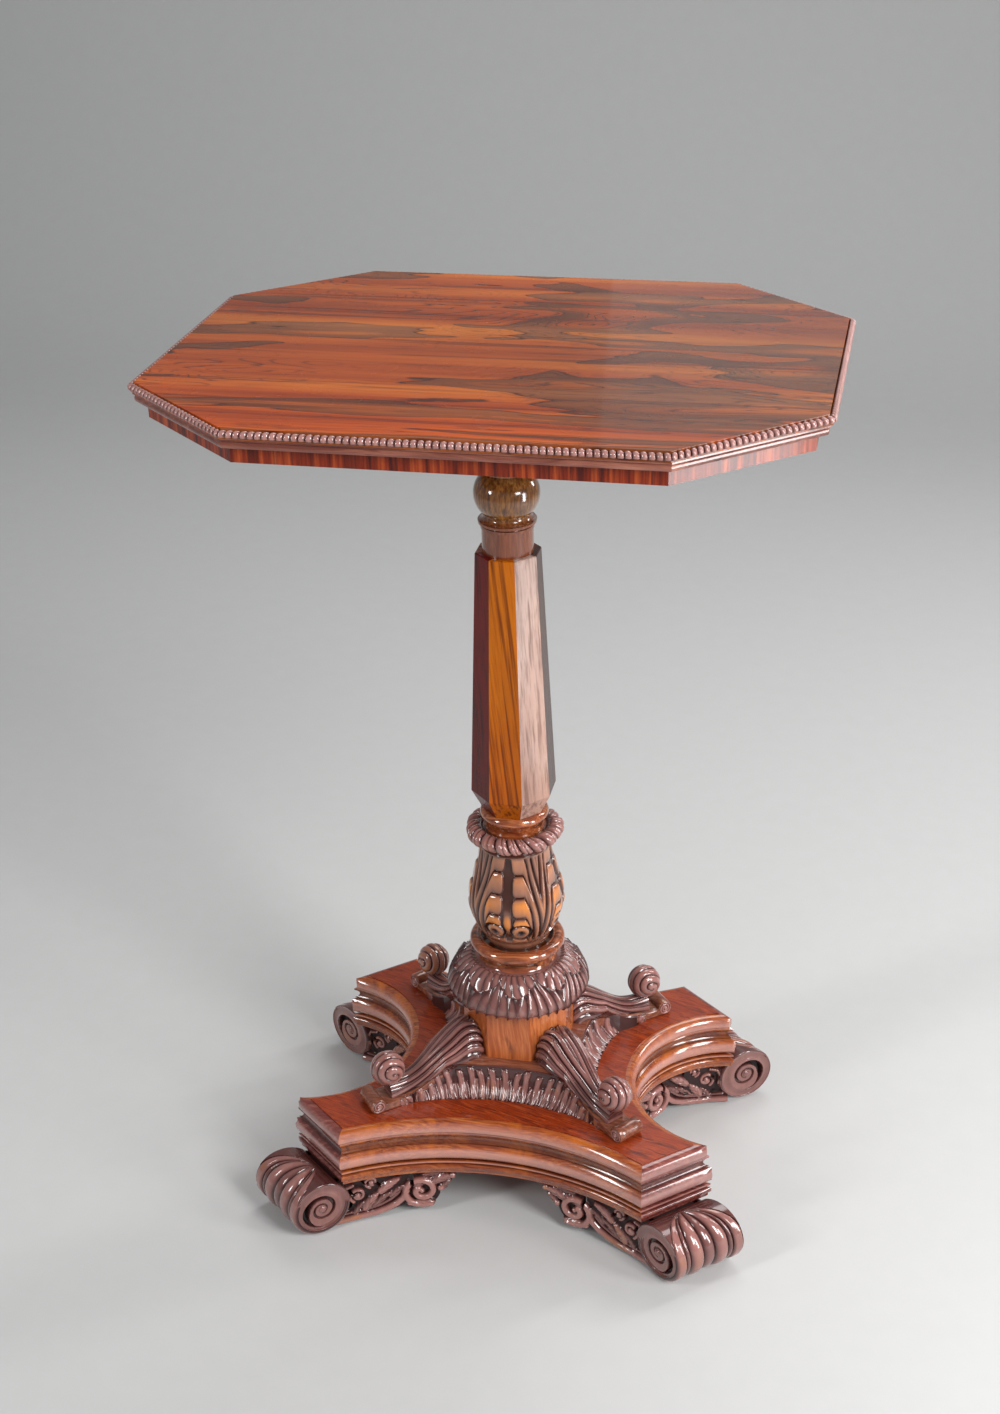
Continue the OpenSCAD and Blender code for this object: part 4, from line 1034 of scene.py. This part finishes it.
def cutout(shell, inside, front, back, place, box, cell, tone):
    """A pierced plate. inside(x, z) is above 0 in the wood. front, back and tone give depths and tone at x and z,
    and place(x, z, depth) the point."""
    x = np.arange(box[0], box[1] + cell, cell)
    z = np.arange(box[2], box[3] + cell, cell)
    x, z = np.meshgrid(x, z, indexing="ij")
    f = inside(x, z)
    on = (f[:-1, :-1] + f[1:, :-1] + f[1:, 1:] + f[:-1, 1:]) / 4 > 0
    cells = np.zeros(f.shape, int)
    for i, j in ((0, 0), (1, 0), (1, 1), (0, 1)):
        cells[i : i + on.shape[0], j : j + on.shape[1]] += on
    # points on the rim move on to the outline
    edge = (cells > 0) & (cells < 4)
    e = 0.05
    for _ in range(2):
        f0 = inside(x, z)
        gx = (inside(x + e, z) - inside(x - e, z)) / (2 * e)
        gz = (inside(x, z + e) - inside(x, z - e)) / (2 * e)
        g2 = gx**2 + gz**2 + 1e-9
        mx, mz = -f0 * gx / g2, -f0 * gz / g2
        size = np.hypot(mx, mz)
        k = np.where(size > 0.45 * cell, 0.45 * cell / np.maximum(size, 1e-9), 1.0) * edge
        x, z = x + mx * k, z + mz * k
    x = np.clip(x, box[0], box[1])
    z = np.clip(z, box[2], box[3])
    used = cells > 0
    count = used.sum()
    number = np.full(f.shape, -1)
    number[used] = np.arange(count)
    ii, jj = np.nonzero(on)
    q = np.stack([number[ii, jj], number[ii + 1, jj], number[ii + 1, jj + 1], number[ii, jj + 1]], 1)
    faces = [place(x, z, depth(x, z))[used] for depth in (front, back)]
    # the back faces get a dark tone, painted shade
    base = shell.store(np.vstack(faces), np.r_[tone(x, z)[used], np.full(count, 0.1)])
    shell.quads += [q + base, q[:, ::-1] + base + count]
    pairs = np.concatenate([q[:, [0, 1]], q[:, [1, 2]], q[:, [2, 3]], q[:, [3, 0]]])
    pairs = set(map(tuple, pairs.tolist()))
    r = np.array(sorted((u, v) for u, v in pairs if (v, u) not in pairs))
    shell.quads.append(np.stack([r[:, 0], r[:, 0] + count, r[:, 1] + count, r[:, 1]], 1) + base)


def rod(x, z, points, width):
    """Signed height of a thick line: 1 on its middle, 0 at its edge."""
    best = np.full(x.shape, -9.0)
    for (ax, az), (bx, bz) in zip(points[:-1], points[1:]):
        dx, dz = bx - ax, bz - az
        t = unit(((x - ax) * dx + (z - az) * dz) / (dx * dx + dz * dz))
        best = np.maximum(best, 1 - np.hypot(x - ax - t * dx, z - az - t * dz) / width)
    return best


def blade(x, z, cx, cz, a, b, turn):
    """A pointed leaf lobe: 1 on its spine, 0 at its edge, with the position along and across it."""
    c, s = math.cos(math.radians(turn)), math.sin(math.radians(turn))
    u = ((x - cx) * c + (z - cz) * s) / a
    v = (-(x - cx) * s + (z - cz) * c) / b + 0.25 * (1 - u * u)
    wide = np.sqrt(np.clip(1 - np.abs(u) ** 1.7, 0.0001, 1)) * (1 - 0.25 * u)
    e = np.where(np.abs(u) < 1, 1 - np.abs(v) / np.maximum(wide, 0.05), 1 - np.abs(u))
    return np.minimum(e, (1 - np.abs(u)) * 3), u, v


def spiral(cx, cz, r0, r1, a0, a1, count=34):
    t = np.linspace(0, 1, count)
    a = np.radians(a0 + (a1 - a0) * t)
    r = r0 + (r1 - r0) * t
    return np.stack([cx + r * np.cos(a), cz + r * np.sin(a)], 1)


# A wing, as distance from its inner end and height. Leaf lobes: middle, half length, half width, turn, height
LOBES = [
    (69.5, 17, 11.5, 5.2, 126, 4.6),
    (54, 31.5, 12.5, 5.0, 144, 4.8),
    (60, 17.5, 12, 3.8, 140, 3.4),
    (47, 24, 10, 3.6, 138, 3.2),
    (79, 13, 9, 3.4, 128, 3.4),
    (29, 10.5, 12.5, 5.2, 6, 5.2),
    (26, 31, 10, 4.6, 150, 3.6),
    (9.5, 35, 11, 5.4, 158, 4.4),
    (7.5, 28, 8, 3.6, 128, 3.8),
    (18, 39.5, 10, 3.4, 176, 3.2),
]
# Pierced slots: both ends and half width
HOLES = [
    ((62, 32.4), (65.6, 37), 1.5),
    ((35, 30), (35.8, 38.5), 1.7),
    ((86.2, 29), (86.2, 31.5), 2.0),
    ((87.5, 15), (86.2, 19), 2.2),
    ((76, 40.4), (74.6, 38.4), 1.3),
    ((4.5, 41), (7, 41.6), 1.0),
]
# Stems and coils: line, half width, height
RIDGES = [
    ([(101, 3.6), (90, 3.8), (78, 4.2), (66, 5.2), (57, 7.6), (49, 11.4), (43, 17), (40, 24)], 3.4, 4.8),
    ([(96, 9.6), (84, 9.0), (72, 9.6), (62, 12), (53, 16.4), (46, 23)], 1.6, 3.0),
    (spiral(80.4, 27.4, 7.2, 3.0, -60, 330), 1.9, 4.4),
    (spiral(68.8, 38.6, 5.6, 2.6, -80, 300), 1.6, 4.2),
    (spiral(27.5, 23.5, 15.0, 4.0, -70, 400, 60), 3.3, 5.4),
    ([(92, 22), (94, 30), (91, 36), (84, 38)], 1.8, 3.6),
]
# Buttons: middle and radius
BUTTONS = [(80.4, 27.4, 2.6), (68.8, 38.6, 2.3), (27.5, 23.5, 2.4), (1.6, 39.2, 2.7), (12, 25.4, 2.6)]


def wing_parts(x, z):
    """Signed distance to the wing's outline, and the height of its carving there."""
    low = np.interp(x, [34, 40, 48, 62, 98], [14, 10, 5.2, 1.2, 0.4])
    plate = np.minimum(np.minimum(z - low, x - 36), 104 - x)
    scroll = (1 - np.hypot((x - 27.5) / 15.5, (z - 23) / 17.5)) * 14
    best = np.maximum(plate, scroll)
    best = np.maximum(best, np.minimum(z - 38, x - 0.5))
    high = np.full(x.shape, 0.5)
    for cx, cz, a, b, turn, height in LOBES:
        e, u, v = blade(x, z, cx, cz, a, b, turn)
        best = np.maximum(best, e * b)
        up = height * unit(e * 1.5) ** 0.5 - 0.7 * bump(v - 0.25, 0.16) * step(e, 0, 0.3)
        up = up + 0.35 * np.cos(11 * (np.abs(v) - u)) * step(e, 0, 0.2)
        high = np.where(e > 0, np.maximum(high, up), high)
    for points, width, height in RIDGES:
        e = rod(x, z, points, width)
        best = np.maximum(best, e * width)
        high = np.where(e > 0, np.maximum(high, height * unit(e * 2.0) ** 0.5), high)
    for cx, cz, r in BUTTONS:
        d = np.hypot(x - cx, z - cz) / r
        best = np.maximum(best, (1 - d) * r)
        high = np.where(d < 1, np.maximum(high, 3.0 + 2.2 * dome(d)), high)
    for a, b, r in HOLES:
        best = np.minimum(best, -rod(x, z, [a, b], r) * r)
    return best, high


def make_feet():
    """The scroll feet. The roll is drawn with the arm along X, and turned to the arm's end."""
    roll_n, roll_z, roll_r = REACH + 25.3, 25.5, 25.8
    # the roll's two ends: how far across the arm, and how its width grows outwards
    ends = ((13, math.tan(math.radians(10))), (75, math.tan(math.radians(14))))
    width = ends[1][0] - ends[0][0]
    shell = Shell()
    # the roll: rims, narrow and broad gadroons that fan out from one point on its top
    around, across = 300, 260
    phi = np.linspace(-PI, PI, around, endpoint=False)
    pp, vv = np.meshgrid(phi, np.linspace(0, 1, across), indexing="ij")
    lift = unit((math.radians(112) - pp) / math.radians(84))
    fan = np.sin(lift * PI / 2) ** 0.55
    w = np.clip(0.5 + (vv - 0.5) / np.maximum(fan, 0.02), -1, 2)
    marks = [0, 0.14, 0.215, 0.415, 0.585, 0.785, 0.86, 1]
    bulges = [3.9, 2.7, 4.2, 3.0, 4.2, 2.7, 3.9]
    body = np.full(w.shape, 3.4)
    for i, bulge in enumerate(bulges):
        x = (w - (marks[i] + marks[i + 1]) / 2) / ((marks[i + 1] - marks[i]) / 2)
        body = np.where(np.abs(x) <= 1, bulge * dome(x, 5 if i in (0, 6) else 2.2), body)
    outside = (w < 0) | (w > 1)
    soft = unit(fan * 1.5)
    r = roll_r - 4.2 * soft + np.where(outside, 3.7, body) * soft
    # rounded corners at both ends
    edge = np.minimum(vv, 1 - vv) * width
    r = np.where(edge < 1.6, np.minimum(r, roll_r - 1.3 * (1 - dome(1 - edge / 1.6))), r)
    n = roll_n + r * np.cos(pp)
    z = roll_z + r * np.sin(pp)
    z = np.maximum(np.where(n < REACH + 5.6, np.minimum(z, UNDER_Z), z), 0.0)
    near, far = (at + (n - roll_n) * slope for at, slope in ends)
    roll = np.stack([n, -(near + (far - near) * vv), z], -1)
    # painted highlight on each gadroon's bulge, painted shade in the grooves between them
    tone = np.where(outside, 0.5, unit(body / 4.2)) * soft + 0.45 * (1 - soft)
    ids = shell.grid(roll, unit(0.06 + 0.8 * tone), close_u=True, flip=True)
    # the volutes on both ends: a wide rim, one deep crescent, an inner coil and a button
    frac = np.linspace(1, 0.015, 90)
    wind = np.degrees(phi[:, None])
    wind = np.where(wind < -90, wind + 360, wind)
    for col, way, (at, _) in zip((0, across - 1), (1, -1), ends):
        ring = roll[:, col]
        centre = np.array([roll_n, -at, roll_z])
        g = centre[None, None] + (ring[:, None] - centre) * frac[None, :, None]
        rho = np.hypot(g[..., 0] - roll_n, g[..., 2] - roll_z)
        cut = np.zeros(rho.shape)
        for a in (wind, wind + 360):
            # the groove's radius, half width and depth as it winds inwards
            groove_r = np.interp(
                a, [-90, -60, 0, 60, 120, 180, 270, 360, 450, 560],
                [18.5, 17.2, 14.2, 12.6, 11.4, 10.4, 8.8, 6.9, 5.2, 4.2],
            )
            half = np.interp(
                a, [-90, -50, 0, 50, 120, 180, 270, 360, 480, 560], [0.2, 1.6, 3.3, 2.9, 1.9, 1.5, 1.3, 1.2, 1.0, 0.3]
            )
            deep = np.interp(a, [-90, -50, 0, 60, 140, 220, 360, 560], [0.3, 3.5, 6.5, 5.0, 3.0, 2.4, 2.2, 1.2])
            cut = np.maximum(cut, deep * unit(1.5 * (1 - (np.abs(rho - groove_r) / half) ** 2)))
        dish = 1.1 * unit(1 - ((rho - 20.5) / 4.2) ** 2) + 0.7 * unit(1 - (rho / 15) ** 2)
        down = cut + dish - 1.6 * dome(rho / 3.2)
        g[..., 1] -= way * down * np.where(frac[None, :] > 0.97, 0.0, 1.0)
        # painted shade in the volute's groove and dish
        light = unit(0.75 - 0.16 * cut - 0.1 * dish)
        face = shell.grid(g[:, 1:], light[:, 1:], close_u=True, flip=way < 0)
        rim, first = ids[:, col], face[:, 0]
        band = np.stack([rim, np.roll(rim, -1), np.roll(first, -1), first], 1)
        shell.quads.append(band if way < 0 else band[:, ::-1])
        shell.ring(face[:, -1], flip=way > 0)
    spun = np.array(Matrix.Rotation(END_TURN, 4, "Z"))[:3, :3]
    shell.points = [p @ spun.T for p in shell.points]

    def wing(along_y, radius, centre, first, last):
        """A pierced wing under one concave side, between two directions from the hollow's centre."""

        def place(x, z, depth):
            a = first + x / 97.0 * (last - first)
            rr = radius + depth
            if along_y:
                return np.stack([rr * np.sin(a), centre - rr * np.cos(a), z], -1)
            return np.stack([centre - rr * np.cos(a), rr * np.sin(a), z], -1)

        before = len(shell.quads)
        # the wing's tone paints highlights on the raised carving and shade on the low ground between
        cutout(
            shell,
            inside=lambda x, z: wing_parts(x, z)[0],
            front=lambda x, z: 5.8 - wing_parts(x, z)[1],
            back=lambda x, z: 11.0 + 0 * x,
            place=place,
            box=(-2, 101, 0.2, UNDER_Z),
            cell=0.66,
            tone=lambda x, z: unit(wing_parts(x, z)[1] / 5.2),
        )
        if along_y:
            shell.quads[before:] = [g[:, ::-1] for g in shell.quads[before:]]

    radius = SIDE_R - 6
    wing(True, radius, SIDE_Y, math.asin(38 / radius), math.asin(130.5 / radius))
    radius = FLANK_R - 4
    wing(False, radius, FLANK_X, math.asin(28 / radius), math.radians(78))
    # the solid part over the roll, under the arm, painted dark as shade
    outline = [(146, -16), (146, -52), (170, -60), (188, -66), (196, -66), (196, -20), (188, -18), (172, -16)]
    block = np.stack([level(outline, z) for z in (14.0, UNDER_Z)], 1) @ spun.T
    ids = shell.grid(block, 0.1, close_u=True)
    shell.caps(ids[:, 0], ids[:, 1])
    shell.build_four("foot_", "scroll_foot_", 45)


make_feet()

# Floor, backdrop, light and camera


def make_stage():
    t = Tree("pale_floor")
    pale = srgb(196, 196, 195)
    clouds = t.noise(t.place(), 40.0, 3.0)
    colour = t.ramp(clouds, [(0.3, tuple(x * 0.98 for x in pale[:3])), (0.7, pale)])
    shell = Shell()
    path = smooth_curve(
        [
            (-3200, -0.5), (-1500, -0.5), (0, -0.5), (1500, -0.5), (2350, 30), (2850, 420), (3000, 1100),
            (3020, 2400), (3020, 3600),
        ],
        60,
    )
    shell.grid(xyz(np.linspace(-4200.0, 4200.0, 5), path[:, :1], path[:, 1:]), flip=True)
    me = bpy.data.meshes.new("stage")
    me.from_pydata((shell.points[0] * MM).tolist(), [], shell.quads[0].tolist())
    me.shade_smooth()
    me.materials.append(t.finish(colour, 0.7, 0.0, spec=0.2))
    link("stage", me)


make_stage()

# name, place, target, width and height, power
for name, place, target, size, power in (
    ("key_right", (1.7, -1.3, 1.7), (0, 0, 0.3), (0.7, 1.3), 50),
    ("low_right", (1.25, -0.4, 0.5), (0, 0, 0.12), (0.22, 0.7), 8),
    ("fill_left", (-1.7, -1.5, 1.5), (0, 0, 0.3), (0.3, 1.0), 22),
    ("top_soft", (0.3, 1.4, 2.6), (0, 0, 0.5), (1.4, 1.2), 22),
    ("back_strip", (1.2, 0.9, 1.2), (0, 0, 0.25), (0.2, 0.9), 8),
    ("sheen", (0.2, 1.3, 1.22), (0.1, 0, 0.735), (0.7, 0.5), 0.42),
):
    light = bpy.data.lights.new(name, "AREA")
    light.shape = "RECTANGLE"
    light.size, light.size_y = size
    light.energy = power
    ob = link(name, light)
    ob.location = place
    ob.rotation_euler = (Vector(target) - Vector(place)).to_track_quat("-Z", "Y").to_euler()

world = bpy.data.worlds.new("studio")
bpy.context.scene.world = world
world.use_nodes = True
background = world.node_tree.nodes["Background"]
background.inputs[0].default_value = (0.8, 0.82, 0.85, 1)
background.inputs[1].default_value = 0.3

# the camera fitted to the photograph: its direction, and its focal length and the picture's height in pixels
AZ, EL, ROLL = math.radians(-12.85), math.radians(27.45), math.radians(1.57)
FOCAL, HEIGHT = 2007, 1414
forward = Vector((math.sin(AZ) * math.cos(EL), math.cos(AZ) * math.cos(EL), -math.sin(EL)))
right0 = Vector((math.cos(AZ), -math.sin(AZ), 0))
down0 = forward.cross(right0)
right = math.cos(ROLL) * right0 + math.sin(ROLL) * down0
down = -math.sin(ROLL) * right0 + math.cos(ROLL) * down0
cam = bpy.data.cameras.new("camera")
cam.sensor_width = 36
cam.lens = FOCAL / HEIGHT * 36
cam.clip_end = 50
cam_ob = link("camera", cam)
m = Matrix.Identity(4)
for row in range(3):
    m[row][0], m[row][1], m[row][2] = right[row], -down[row], -forward[row]
m.translation = Vector((0.3056, -1.3821, 1.1769))
cam_ob.matrix_world = m
bpy.context.scene.camera = cam_ob
bpy.context.scene.view_settings.view_transform = "Standard"
